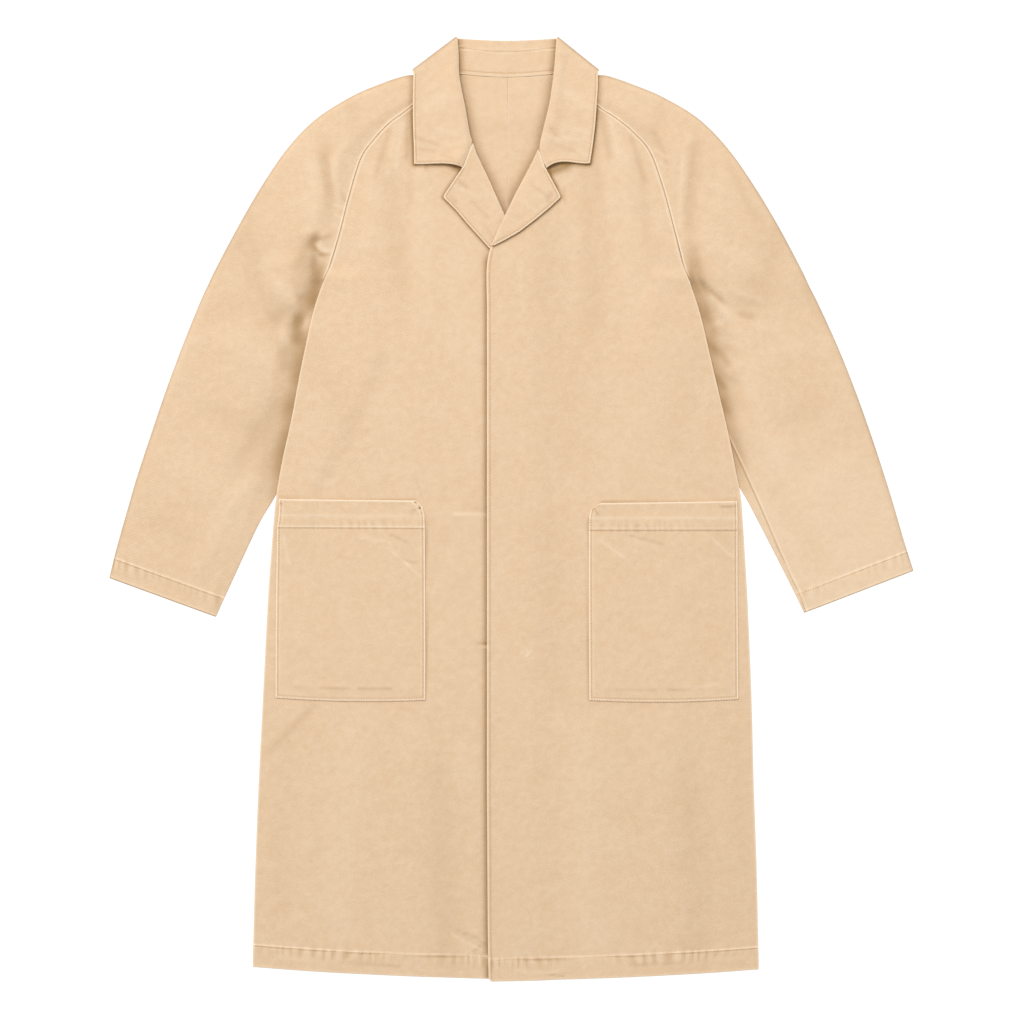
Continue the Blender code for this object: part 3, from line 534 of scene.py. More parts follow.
def line_distance(x, y, line):
    """Distance to the nearest point of a broken line, the side it lies on, and its place along the line."""
    points = np.array(line, float)
    steps = np.diff(points, axis=0)
    length = np.linalg.norm(steps, axis=1)
    before = np.concatenate([[0], np.cumsum(length)[:-1]])
    shape = np.shape(x)
    away_x = np.ravel(x)[:, None] - points[:-1, 0]
    away_y = np.ravel(y)[:, None] - points[:-1, 1]
    share = np.clip((away_x * steps[:, 0] + away_y * steps[:, 1]) / length**2, 0, 1)
    gap = np.hypot(away_x - share * steps[:, 0], away_y - share * steps[:, 1])
    nearest = gap.argmin(axis=1)
    pick = np.arange(len(nearest)), nearest
    side = np.sign(away_x[pick] * steps[nearest, 1] - away_y[pick] * steps[nearest, 0])
    along = before[nearest] + share[pick] * length[nearest]
    return gap[pick].reshape(shape), side.reshape(shape), along.reshape(shape)


def gap_to(line, x, y):
    """Distance to the nearest point of a broken line."""
    return line_distance(x, y, line)[0]


def bowed(share, depth):
    """A curve that sags by depth halfway between its ends: 4 d s (1 - s)."""
    return depth * 4 * share * (1 - share)


def leaf_bowed(share, side):
    """The bow of a leaf's bottom edge, 6.75 b s (1 - s)^2, which is b where it is deepest."""
    return LEAF_BOW[side] * 6.75 * share * (1 - share) ** 2


def creases(x, y, table):
    """Height of soft creases: a bell across each line, fading at both ends."""
    height = np.zeros_like(x)
    for x0, y0, x1, y1, half_width, depth in table:
        length = np.hypot(x1 - x0, y1 - y0)
        along = ((x - x0) * (x1 - x0) + (y - y0) * (y1 - y0)) / length
        aside = ((x - x0) * (y1 - y0) - (y - y0) * (x1 - x0)) / length
        beyond = np.maximum(np.maximum(-along, along - length), 0)
        height += depth * np.exp(-((aside / half_width) ** 2) - (beyond / (1.5 * half_width)) ** 2)
    return height


def waves(x, y):
    """Low waves of washed cloth: a sum of sines, each along its own direction."""
    height = np.zeros_like(x)
    for length, degrees, phase, depth in WAVES:
        turn = np.radians(degrees)
        height += depth * np.sin((x * np.cos(turn) + y * np.sin(turn)) * 2 * np.pi / length + phase)
    return height


def column_at(table, column, y):
    """A table's column read at the heights y of its second column."""
    rows = np.array(table, float)
    return np.interp(y, rows[::-1, 1], rows[::-1, column])


def collar_rise(x, y):
    """1 where the collar's back fall lies under, 0 away from it."""
    edge = np.interp(np.abs(x - CENTRE_BACK_X), *FALL_OUTLINE)
    return ramp(edge - FALL_SLOPE[0], edge - FALL_SLOPE[1], y)


def tuck_rise(x, y):
    """1 where a sleeve's inner strip is tucked under the body, 0 away from it."""
    rise = np.zeros_like(x)
    for side, table in SLEEVE.items():
        tucked = np.array(table, float)[TUCKED_ROWS, 2:4]
        hidden = side * np.interp(y, tucked[::-1, 1], tucked[::-1, 0])
        here = ramp(hidden - TUCK_SLOPE[0], hidden - TUCK_SLOPE[1], side * x)
        rise = np.maximum(rise, here * ramp(*TUCK_TOP, y) * ramp(*TUCK_END, y))
    return rise


def back_height(x, y):
    """Mid height of the back: on the surface, lifted by the collar and the sleeves under it."""
    return WALL / 2 + COLLAR_STEP * collar_rise(x, y) + TUCK_STEP * tuck_rise(x, y)


def front_height(x, y):
    """Mid height of the fronts: on the back, lifted by the air inside except along the side seams."""
    side = np.where(x < 0, x - column_at(SIDE_LEFT, 0, y), column_at(SIDE_RIGHT, 0, y) - x)
    sewn = ramp(*UNDERARM, y) * bell(np.maximum(side, 0), SIDE_SLOPE)
    neck = 1 - NECK_AIR_SHARE * ramp(480, 530, y)
    uneven = creases(x, y, FRONT_CREASES) + waves(x, y)
    return back_height(x, y) + LAYER + AIR * (1 - sewn) * neck + uneven * (1 - sewn)


def overlap(x, y):
    """Lift of the right front where it lies on the left front, and on the left lapel above."""
    lift = OVERLAP_STEP + LAPEL_STEP * ramp(*LAP_ON_LAPEL, y)
    return lift * ramp(*LAP_SLOPE, x) * ramp(*LAP_TOP, y)


def turned_height(x, y, side):
    """Mid height of a front, with the overlap on the right one."""
    return front_height(x, y) + (overlap(x, y) if side == RIGHT else 0)


def pucker(along, distance):
    """Roping of a sewn edge: waves about 9 mm apart, whose spacing, slant and height drift along it."""
    drift = 0.25 * np.sin(along / 7.3) + 0.35 * np.sin(along / 17.0 + 1.0) + 0.3 * np.sin(along / 41.0)
    slant = distance / 40.0 * np.sin(along / 60.0 + 0.5)
    return np.sin(2 * np.pi * (along / 9.2 + slant + drift)) * (0.6 + 0.4 * np.sin(along / 27.0 + 2.0))


def sewn_edge(distance, along, inset=2.5, strength=1.0):
    """Relief of a turned edge: a puffed ridge, a groove at the thread, and the layer fading inwards."""
    puff = 0.42 * bell(distance - 0.42 * inset, 0.42 * inset) * (1 + 0.4 * pucker(along, distance))
    groove = -0.42 * bell(distance - inset, 0.9)
    allowance = (0.24 + 0.14 * pucker(along, distance)) * ramp(11, 6, distance) * ramp(0, inset, distance)
    return strength * (puff + groove + allowance)


def turned_hem(distance, along, stitch):
    """Relief of a hem: one more layer up to its thread, a groove there, and roping all the way down."""
    layer = 1.5 * HEM_EXTRA * ramp(stitch + 1.8, stitch + 0.6, distance)
    groove = -0.5 * bell(distance - stitch + 0.2, 0.9)
    within = bell(distance - stitch + 3, 8.0) + 0.3 * ramp(stitch, stitch - 6, distance)
    rope = 0.38 * pucker(along * 0.8, distance) * within
    edge = 0.3 * bell(distance - 1.4, 1.3)
    return layer + groove + rope + edge


def travelled(points, axis):
    """Distance along each grid line from its first point."""
    steps = np.linalg.norm(np.diff(points, axis=axis), axis=2)
    total = np.cumsum(steps, axis=axis)
    first = np.zeros_like(total[:1]) if axis == 0 else np.zeros_like(total[:, :1])
    return np.concatenate([first, total], axis=axis)


def grid_normals(points):
    """Unit normals of a grid from the cross product of its two directions, upwards along its first column."""
    cross = np.cross(np.gradient(points, axis=1), np.gradient(points, axis=0))
    cross *= np.sign(cross[:, 0, 2].sum())
    return cross / np.maximum(np.linalg.norm(cross, axis=2, keepdims=True), 1e-9)


def shell(name, points, wall, relief=0.0, wear_and_shade=None):
    """A closed wall round a grid of mid points: half the wall and the relief outwards, half the wall inwards.

    Near the rim the wall thins to a rounded edge: its half thickness follows sqrt(1 - (1 - d / r)^2).
    """
    rows, columns = points.shape[:2]
    across, down = travelled(points, 1), travelled(points, 0)
    from_side = np.minimum(across, across[:, -1:] - across)
    from_end = np.minimum(down, down[-1:] - down)
    inwards = np.clip(np.minimum(from_side, from_end) / RIM_RADIUS, 0, 1)
    rim = np.maximum(np.sqrt(1 - (1 - inwards) ** 2), 0.3)
    face = grid_normals(points)
    outer = points + face * (rim * (wall / 2 + relief))[..., None]
    inner = points - face * (rim * wall / 2)[..., None]
    index = np.arange(rows * columns).reshape(rows, columns)
    a, b, c, d = index[:-1, :-1], index[:-1, 1:], index[1:, 1:], index[1:, :-1]
    quads = np.stack([a, b, c, d], axis=-1).reshape(-1, 4)
    border = np.concatenate([index[0, :-1], index[:-1, -1], index[-1, :0:-1], index[:0:-1, 0]])
    after = np.roll(border, -1)
    below = rows * columns
    edge = np.stack([border, border + below, after + below, after], axis=-1)
    faces = np.vstack([quads, quads[:, ::-1] + below, edge])
    vertices = np.vstack([outer.reshape(-1, 3), inner.reshape(-1, 3)]) * MM
    # above zero: rubbed wear and painted highlights; below zero: painted shade
    wear_and_shade_grid = np.zeros((rows, columns)) if wear_and_shade is None else wear_and_shade
    rightwards = points[rows // 2, 1, 0] > points[rows // 2, 0, 0]
    from_middle = (across - across[:, columns // 2, None]) * (-1 if rightwards else 1)
    cloth_map = np.stack([from_middle, down], axis=-1).reshape(-1, 2) * MM
    return mesh_piece(name, vertices, faces, np.tile(wear_and_shade_grid.ravel(), 2), np.tile(cloth_map, (2, 1)))


def mesh_piece(name, vertices, faces, wear_and_shade, cloth_map):
    """An object from whole arrays, with its wear and painted light and shade as an attribute and its cloth
    directions as a UV map.
    """
    mesh = bpy.data.meshes.new(name)
    mesh.vertices.add(len(vertices))
    mesh.vertices.foreach_set("co", vertices.ravel())
    mesh.loops.add(faces.size)
    mesh.loops.foreach_set("vertex_index", faces.ravel())
    mesh.polygons.add(len(faces))
    mesh.polygons.foreach_set("loop_start", np.arange(0, faces.size, faces.shape[1]))
    mesh.update(calc_edges=True)
    if mesh.validate():
        raise RuntimeError(f"{name} has faces that Blender had to mend")
    if signed_volume(vertices, faces) < 0:
        mesh.flip_normals()
    order = np.zeros(faces.size, dtype=np.int32)
    mesh.loops.foreach_get("vertex_index", order)
    mesh.uv_layers.new(name="cloth").data.foreach_set("uv", cloth_map[order].ravel())
    mesh.attributes.new("wear_and_shade", "FLOAT", "POINT").data.foreach_set("value", wear_and_shade)
    mesh.shade_smooth()
    return placed(name, mesh)


def placed(name, data):
    """A new object in the scene."""
    thing = bpy.data.objects.new(name, data)
    bpy.context.scene.collection.objects.link(thing)
    return thing


def signed_volume(vertices, faces):
    """Six times the volume inside, from the corner tetrahedra; below zero where faces point inwards."""
    a, b, c, d = (vertices[faces[:, k]] for k in range(4))
    return (np.einsum("ij,ij->i", a, np.cross(b, c)) + np.einsum("ij,ij->i", a, np.cross(c, d))).sum()


def lifted(points, height):
    """Plan points with their heights."""
    return np.dstack([points, np.broadcast_to(height, points.shape[:2])])


def neck_edge(x):
    """The back's edge along the neck, just below the stand and down to the shoulder at both ends."""
    stand = np.array(STAND)[1:-1]
    x_known = (SIDE_LEFT[0][0], *stand[:, 0], SIDE_RIGHT[0][0])
    y_known = (SIDE_LEFT[0][1], *(stand[:, 1] - NECK_GAP), SIDE_RIGHT[0][1])
    return np.interp(x, x_known, y_known)


def side_roll(points, distance, radius=2.5):
    """How far an edge turns towards the other layer: only along the side seam, below the raglan seam."""
    return curl(distance, radius) * ramp(UNDERARM[0], RAGLAN_END[0], points[..., 1])


def worn_and_shaded_edge(distance, inset=2.5):
    """Colour of a turned edge: rubbed paler on the ridge, with a little painted shade in the groove."""
    return 0.8 * bell(distance - 0.5, 1.0) - 0.22 * bell(distance - inset, 0.9)


def worn_and_shaded_hem(distance, along, stitch):
    """Colour of a hem: its lower edge and the ridge above its thread are rubbed pale, in patches, and its
    groove at the thread is painted shade.
    """
    patches = 0.75 + 0.35 * pucker(along * 0.8, distance)
    ridge = 0.8 * bell(distance - stitch - 1.2, 1.1) * patches + 0.6 * bell(distance - 0.5, 1.2)
    rope = 0.32 * pucker(along * 0.8, distance + 2) * bell(distance - stitch + 4, 7.0)
    return ridge - 0.45 * bell(distance - stitch + 0.4, 0.9) + rope


def painted_shade_beside(gap, reach, strength):
    """Painted shade on cloth beside an edge that lies on it, or beside a fold: a bell from the edge outwards.
    """
    return -strength * bell(gap, reach)


def back(name, side):
    """Half of the back: straight rows from the side line to the centre back seam."""
    places = places_along(SIDE[side], GRID["back"][0], PLAIN_STEPS, HEM_STEPS)
    sides, centre = curved(SIDE[side], places), curved(CENTRE[side], places)
    top = places < RAGLAN_ROWS
    level = centre[~top][0, 1]
    centre[top, 1] = np.interp(places[top], (0, RAGLAN_ROWS), (neck_edge(CENTRE_BACK_X), level))
    centre[:, 0] = CENTRE_BACK_X + side * BACK_SEAM_GAP / 2
    points, distance, seam = ruled(sides, centre, GRID["back"][1], PLAIN_STEPS, BACK_SEAM_STEPS)
    lift = neck_edge(points[0, :, 0]) - points[0, :, 1]
    points[..., 1] += lift * ramp(4.5, 0, places)[:, None]
    x, y = points[..., 0], points[..., 1]
    height = back_height(x, y) + side_roll(points, distance) * SEAM_TURN - 0.04 * bell(seam, 1.2)
    relief = 0.05 * bell(seam - 2.2, 1.5)
    # a pale line along the centre back seam, and painted shade on the back's inside beside the collar's roll
    # line
    wear_and_shade = 0.16 * bell(seam, 1.2) + painted_shade_beside(gap_to(roll_line(side), x, y), *PAINTED_SHADE["collar_on_back"])
    return shell(name, lifted(points, height), WALL, relief, wear_and_shade)


def roll_line(side):
    """Where the collar and the lapel fold back, from the top of the neck to the break."""
    return [row[:2] for row in (*FALL[side][5:12], *LAPEL[side][1:])]


def front_grid(side):
    """Plan points of a front, distances from both its edges, and height above its hem."""
    places = places_along(SIDE[side], GRID["front"][0], PLAIN_STEPS, HEM_STEPS)
    sides, centre = curved(SIDE[side], places), curved(CENTRE[side], places)
    if side == RIGHT:
        lowest = CENTRE_RIGHT[-1][1]
        centre[:, 0] += HEM_CORNER * ramp(lowest + HEM_CORNER * 2, lowest, centre[:, 1]) ** 2
    points, distance, far = ruled(sides, centre, GRID["front"][1], EDGE_STEPS, EDGE_STEPS)
    points[..., 1] -= bowed(distance / (distance + far), HEM_BOW) * ramp(-380, -580, points[..., 1])
    hem = points[-1, np.argsort(points[-1, :, 0])]
    return points, distance, far, points[..., 1] - np.interp(points[..., 0], hem[:, 0], hem[:, 1])


def front(name, side):
    """One front: sewn to the sleeve along the raglan seam, turned at its edge and its hem."""
    points, distance, far, above_hem = front_grid(side)
    x, y = points[..., 0], points[..., 1]
    raglan, edge = ramp(*RAGLAN_END, y), ramp(*FRONT_EDGE_TOP, y)
    rolled = ramp(*GORGE_RANGE, y) * ramp(*BREAK_RANGE, y)
    height = turned_height(x, y, side) + curl(far, 4.0) * rolled * (TURNED_STEP - WALL - SEAM_GAP) / 2
    height -= side_roll(points, distance) * SEAM_TURN
    height += profile(distance, RAGLAN_RIDGE) * raglan
    if side == RIGHT:
        height += EDGE_LIFT * bell(far, 14.0) * edge
    relief = turned_hem(above_hem, x, HEM_STITCH) + sewn_edge(far, y, FRONT_STITCH, 1.1) * edge
    relief += 0.12 * pucker(y, distance) * bell(distance - 2, 4.0) * (1 - 0.5 * raglan)
    wear_and_shade = worn_and_shaded_edge(far, FRONT_STITCH) * edge + worn_and_shaded_hem(above_hem, x, HEM_STITCH)
    wear_and_shade += 0.8 * bell(distance, 1.5) * (1 - raglan)
    wear_and_shade += profile(distance, RAGLAN_WEAR_AND_SHADE) * raglan
    # painted highlights on crease ridges and painted shade in their troughs, then painted marks of light and
    # shade
    wear_and_shade += 0.7 * CREASE_LIGHT_AND_SHADE * np.clip(creases(x, y, FRONT_CREASES), -2.0, 2.0)
    wear_and_shade += creases(x, y, FRONT_PAINTED_LIGHT_AND_SHADE)
    # painted shade beside the collar leaf, the lapel and, on the left front, the right front's edge
    wear_and_shade += painted_shade_beside(gap_to(leaf_line(side), x, y), *PAINTED_SHADE["leaf_on_front"])
    wear_and_shade += painted_shade_beside(gap_to([row[2:4] for row in LAPEL[side]], x, y), *PAINTED_SHADE["lapel_on_front"])
    if side == LEFT:
        lap = np.maximum(column_at(CENTRE_RIGHT, 0, y) - x, 0)
        wear_and_shade += painted_shade_beside(lap, *PAINTED_SHADE["front_on_front"]) * ramp(330, 310, y)
    return shell(name, lifted(points, height), WALL, relief, wear_and_shade)


def sleeve(name, side):
    """Each section runs from the front seam over the top to the outer fold and back below.

    Where it is sewn to the body its inner edge follows the front; below, both layers close there.
    """
    table = np.hstack([SLEEVE[side], SLEEVE_SECTIONS])
    places = places_along(table, GRID["sleeve"][0], PLAIN_STEPS, CUFF_STEPS)
    rows = curved(table, places)
    outer, inner = rows[:, :2], rows[:, 2:4]
    opened = np.clip(rows[:, 4:5], 0, 1)
    edge, flat, crown = rows[:, 5:6], np.clip(rows[:, 6:7], 0, 1), rows[:, 7:8]
    steps = INNER_STEPS if side == LEFT else UNDERARM_STEPS
    points, distance, far = ruled(outer, inner, GRID["sleeve"][1], FOLD_STEPS, steps)
    x, y = points[..., 0], points[..., 1]
    share = far / np.linalg.norm(inner - outer, axis=1)[:, None]
    closed = 1 - opened
    seam = opened * front_height(inner[:, :1], inner[:, 1:]) + closed * edge
    rise = opened * ramp(flat, flat + 0.3, share)
    rise += closed * (0.5 * ramp(flat, flat + 0.12, share) + 0.5 * ramp(flat, flat + 0.34, share))
    top = seam + (crown - seam) * rise
    loose = ramp(flat, flat + 0.08, share) * ramp(1.0, 9.0, distance)
    top += (creases(x, y, SLEEVE_CREASES) + waves(x + 40, y - 25)) * loose
    floor = WALL / 2 + COLLAR_STEP * collar_rise(x, y)
    middle = floor + 2.0
    top -= curl(distance, 8.0) * (top - middle)
    bottom = floor + curl(distance, 4.5) * (middle - floor)
    close = curl(far, 2.5 + 2.0 * ramp(3.0, 3.8, edge) * closed) * closed
    half = (top - bottom - WALL - SEAM_GAP) / 2
    top, bottom = top - close * half, bottom + close * half
    from_cuff = gap_to([outer[-1], inner[-1]], x, y)
    along = travelled(np.dstack([points, top]), 0)
    relief = turned_hem(from_cuff, distance * 1.1, CUFF_STITCH) * ramp(0.5, 5.0, distance)
    relief += (0.45 * bell(far - 1.6, 1.1) + 0.15 * pucker(along, far) * bell(far - 2, 3.5)) * opened
    wear_and_shade = worn_and_shaded_hem(from_cuff, distance * 1.1, CUFF_STITCH) + 0.95 * bell(far - 1.3, 1.0) * opened
    # painted shade on the sleeve in the valley beside the body's edge, in patches
    body = gap_to(SIDE[side][RAGLAN_ROWS - 1:15], x, y)
    patches = 0.9 + 0.2 * np.sin(y / 9.0 + 1.2 * np.sin(y / 21.0))
    valley = ramp(*VALLEY_TOP[side], y) * ramp(*VALLEY_END, y) * patches
    wear_and_shade += painted_shade_beside(body, VALLEY_REACH[side], VALLEY_SHADE[side]) * valley
    wear_and_shade += painted_shade_beside(body, *PAINTED_SHADE["body_on_sleeve"]) * valley
    # painted highlights and shade following the creases, painted marks in the underarm folds, and painted
    # shade beside the collar leaf, along the outer fold and under the cuff's edge
    wear_and_shade += 0.6 * CREASE_LIGHT_AND_SHADE * np.clip(creases(x, y, SLEEVE_CREASES), -2.5, 2.0)
    wear_and_shade += creases(x, y, SLEEVE_PAINTED_LIGHT_AND_SHADE) * (1 - ramp(3.0, 0.0, far) * opened)
    wear_and_shade += painted_shade_beside(gap_to(leaf_line(side), x, y), *PAINTED_SHADE["leaf_on_sleeve"])
    wear_and_shade += painted_shade_beside(distance, *PAINTED_SHADE["sleeve_fold"]) + profile(from_cuff, CUFF_WEAR_AND_SHADE)
    if side == RIGHT:
        gap, turn, _ = line_distance(x, y, UNDERARM_SEAM)
        signed = gap * turn
        shown = ramp(108, 80, y)
        relief += profile(signed, UNDERARM_RIDGE) * shown
        # painted light: the lower right sleeve is made paler to offset its shading
        wear_and_shade += profile(signed, UNDERARM_WEAR_AND_SHADE) * shown + 0.26 * ramp(140, -20, y)
    # the painted shade is softly limited
    wear_and_shade = np.where(wear_and_shade < 0, 0.8 * np.tanh(wear_and_shade / 0.8), wear_and_shade)
    upper, lower = lifted(points, top), lifted(points, bottom)
    section = np.concatenate([upper[:, ::-1], lower[:, 1:]], axis=1)
    plain = np.zeros_like(x[:, 1:])
    relief, wear_and_shade = (np.concatenate([part[:, ::-1], plain], axis=1) for part in (relief, wear_and_shade))
    return shell(name, section, WALL, relief, wear_and_shade)


def collar_fall():
    """One strip from the left leaf's end, under the back of the neck, to the right leaf's end."""
    middle = (CENTRE_BACK_X, 584.6, CENTRE_BACK_X, 510, 0.8, 0.8)
    table = (*FALL_LEFT[::-1], middle, *FALL_RIGHT)
    places = places_along(table, GRID["fall"][0], EDGE_STEPS, EDGE_STEPS, column=2)
    rows = curved(table, places)
    points, distance, far = ruled(rows[:, :2], rows[:, 2:4], GRID["fall"][1], ROLL_STEPS, EDGE_STEPS)
    share = distance / (distance + far)[:, :1]
    to_end = {LEFT: places, RIGHT: len(table) - 1 - places}
    for side, end in to_end.items():
        points[..., 1] += leaf_bowed(share, side) * ramp(1.3, 0, end)[:, None]
    x, y = points[..., 0], points[..., 1]
    roll, edge = rows[:, 4:5], rows[:, 5:6]
    on_top = ramp(4.0, 6.0, roll)
    height = roll + (edge - roll) * share
    height += (0.7 * bell(distance - 11, 9.0) + 1.5 * waves(y - 30, x + 18)) * on_top * ramp(0, 8, far)
    height += creases(x, y, LEAF_CREASES) * on_top * ramp(0, 5, far)
    height += (ROLL_LIFT * bell(distance - 7, 8.0) + EDGE_LIFT * bell(far, 9.0)) * on_top
    height -= (1.8 * curl(distance, 7.0) + 0.3 * curl(far, 2.0)) * on_top
    nearest = np.minimum(*to_end.values())[:, None]
    height += LEAF_LIFT * bell(share - 0.36, 0.30) * ramp(1.6, 0, nearest)
    gaps = []
    for side, last in ((LEFT, points[0]), (RIGHT, points[-1])):
        outer = points[(side * points[:, -1, 0] > 0) & (rows[:, 4] > 4), -1]
        line = [outer, last[::-1]][::side]
        gaps.append(gap_to(np.vstack(line)[::2], x, y))
    gap = np.where(x < 0, *gaps)
    relief = sewn_edge(gap, y + x, EDGE_STITCH) * on_top
    # rubbed wear on the edges and along the roll line, with painted highlights and shade following the leaf
    # creases
    wear_and_shade = worn_and_shaded_edge(gap, EDGE_STITCH) + 0.5 * bell(distance, 1.6) + 0.5 * creases(x, y, LEAF_CREASES)
    wear_and_shade *= on_top
    # painted shade along each shoulder fold of the collar
    for fold in (FALL_LEFT[4], FALL_RIGHT[4]):
        wear_and_shade += painted_shade_beside(gap_to((fold[:2], fold[2:4]), x, y), *PAINTED_SHADE["collar_fold"])
    return shell("collar_fall_cloth", lifted(points, height), COLLAR_WALL, relief, wear_and_shade)


def collar_stand():
    """The stand inside the neck: straight rows from the neck seam up to the roll edge."""
    rows = curved(STAND, places_along(STAND, GRID["stand"][0], PLAIN_STEPS, PLAIN_STEPS))
    points, near, far = ruled(rows[:, :2], rows[:, 2:4], GRID["stand"][1], STAND_STEPS, PLAIN_STEPS)
    x, y = points[..., 0], points[..., 1]
    height = WALL / 2 + COLLAR_STEP - 0.4 * curl(far, 3.0)
    height += creases(x, y, STAND_CREASES) + 0.6 * np.abs(waves(x, y))
    top = gap_to(STAND_TOP_LINE, x, y)
    relief = profile(near, STAND_RIDGE) - 0.3 * bell(top, 0.9)
    relief += 0.25 * bell(top - 2.4, 1.4) * ramp(0, 1, far)
    folded = np.minimum(gap_to(roll_line(LEFT), x, y), gap_to(roll_line(RIGHT), x, y))
    wear_and_shade = profile(near, STAND_WEAR_AND_SHADE) + profile(top, STAND_TOP_WEAR_AND_SHADE)
    # painted shade on the stand beside the collar's roll lines
    wear_and_shade += painted_shade_beside(folded, *PAINTED_SHADE["collar_on_stand"])
    return shell("collar_stand_cloth", lifted(points, height), WALL, relief, wear_and_shade)


def rounded(table, places):
    """A table read along straight lines and averaged over a short reach, which rounds its corners."""
    return sum(straight(table, places + reach) for reach in (-TIP_REACH, 0, TIP_REACH)) / 3


def lapel(name, side):
    """A lapel turned back on its front: straight rows from the roll line to the outer edge."""
    places = places_along(LAPEL[side], GRID["lapel"][0], LAPEL_ENDS, LAPEL_ENDS, straight, 2)
    rows = rounded(LAPEL[side], places)
    points, near, _ = ruled(rows[:, :2], rows[:, 2:4], GRID["lapel"][1], LAPEL_STEPS, EDGE_STEPS)
    x, y = points[..., 0], points[..., 1]
    free = places > 1.0
    edge, _, along = line_distance(x, y, rows[free][::2, 2:4])
    seam = gap_to(rows[~free][:, 2:4], x, y)
    wrinkles = creases(x, y, LAPEL_CREASES)
    height = turned_height(x, y, side) + TURNED_STEP - 0.35 * curl(near, 3.0) - 0.3 * curl(edge, 2.0)
    height += 0.5 * bell(near - 9, 8.0) * ramp(0, 6, edge) + wrinkles + 0.7 * EDGE_LIFT * bell(edge, 8.0)
    relief = sewn_edge(edge, along, EDGE_STITCH) + profile(seam, GORGE_RIDGE)
    # painted highlights and shade following the lapel creases, rubbed wear on the edges and roll line, and
    # painted shade in the gorge seam
    wear_and_shade = 0.5 * wrinkles + worn_and_shaded_edge(edge, EDGE_STITCH) + 0.4 * bell(near, 1.6) + profile(seam, GORGE_WEAR_AND_SHADE)
    return shell(name, lifted(points, height), WALL, relief, wear_and_shade)


def pocket(name, side):
    """A patch pocket sewn down on three edges, its top folded into a band."""
    table = POCKET[side]
    rows = rounded(table, places_along(table, GRID["pocket"][0], BAND_STEPS, EDGE_STEPS, straight))
    points, near, far = ruled(rows[:, :2], rows[:, 2:4], GRID["pocket"][1], EDGE_STEPS, EDGE_STEPS)
    points[..., 1] -= bowed(near / (near + far), POCKET_BOW) * ramp(-180, -239, points[..., 1])
    x, y = points[..., 0], points[..., 1]
    left_x, left_y, right_x, right_y = table[BAND_ROW]
    band = y - np.interp(x, (left_x, right_x), (left_y, right_y))
    top = y[:1] - y
    bottom = gap_to(points[-1, ::3], x, y)
    sides = np.minimum(near, far)
    sewn = np.minimum(sides, bottom)
    height = turned_height(x, y, side) + POCKET_STEP - 0.6 * bell(sewn, 5.0)
    height += (creases(x, y, POCKET_CREASES) + 0.8 * waves(x - 60, y + 33)) * ramp(0, 12, sewn)
    relief = sewn_edge(sewn, np.where(bottom < sides, x, y), EDGE_STITCH, 0.9)
    relief += HEM_EXTRA * ramp(-0.9, 0.3, band) + profile(band, BAND_RIDGE)
    relief += 0.16 * bell(bottom - 17, 2.0) + 0.25 * bell(top - 1.5, 1.5)
    relief += 0.30 * pucker(x, -band) * (bell(band - 2, 8.0) + 0.3 * ramp(0, 8, band))
    wear_and_shade = profile(sewn, POCKET_WEAR_AND_SHADE) + profile(band, BAND_WEAR_AND_SHADE) + bell(top - 0.5, 1.5)
    # roping wear under the band, and the painted highlights and shade of the pocket marks
    wear_and_shade += 0.2 * pucker(x, -band + 2) * bell(band - 3, 6.0) + creases(x, y, POCKET_PAINTED_LIGHT_AND_SHADE)
    for pit_x, pit_y in POCKET_PITS:
        away = np.hypot(x - pit_x, y - pit_y)
        relief -= 0.7 * bell(away, 1.7)
        # painted highlight round each dent and painted shade inside it
        wear_and_shade += profile(away, PIT_LIGHT_AND_SHADE)
    return shell(name, lifted(points, height), WALL, relief, wear_and_shade)


def inset(line, distance):
    """A broken line moved sideways, to its left for a positive distance, with its corners mitred."""
    points = np.array(line, float)
    steps = np.diff(points, axis=0)
    steps /= np.linalg.norm(steps, axis=1, keepdims=True)
    left = np.stack([-steps[:, 1], steps[:, 0]], axis=1)
    before, after = np.vstack([left[:1], left]), np.vstack([left, left[-1:]])
    corner = (before + after) / (1 + (before * after).sum(axis=1, keepdims=True))
    return points + corner * distance


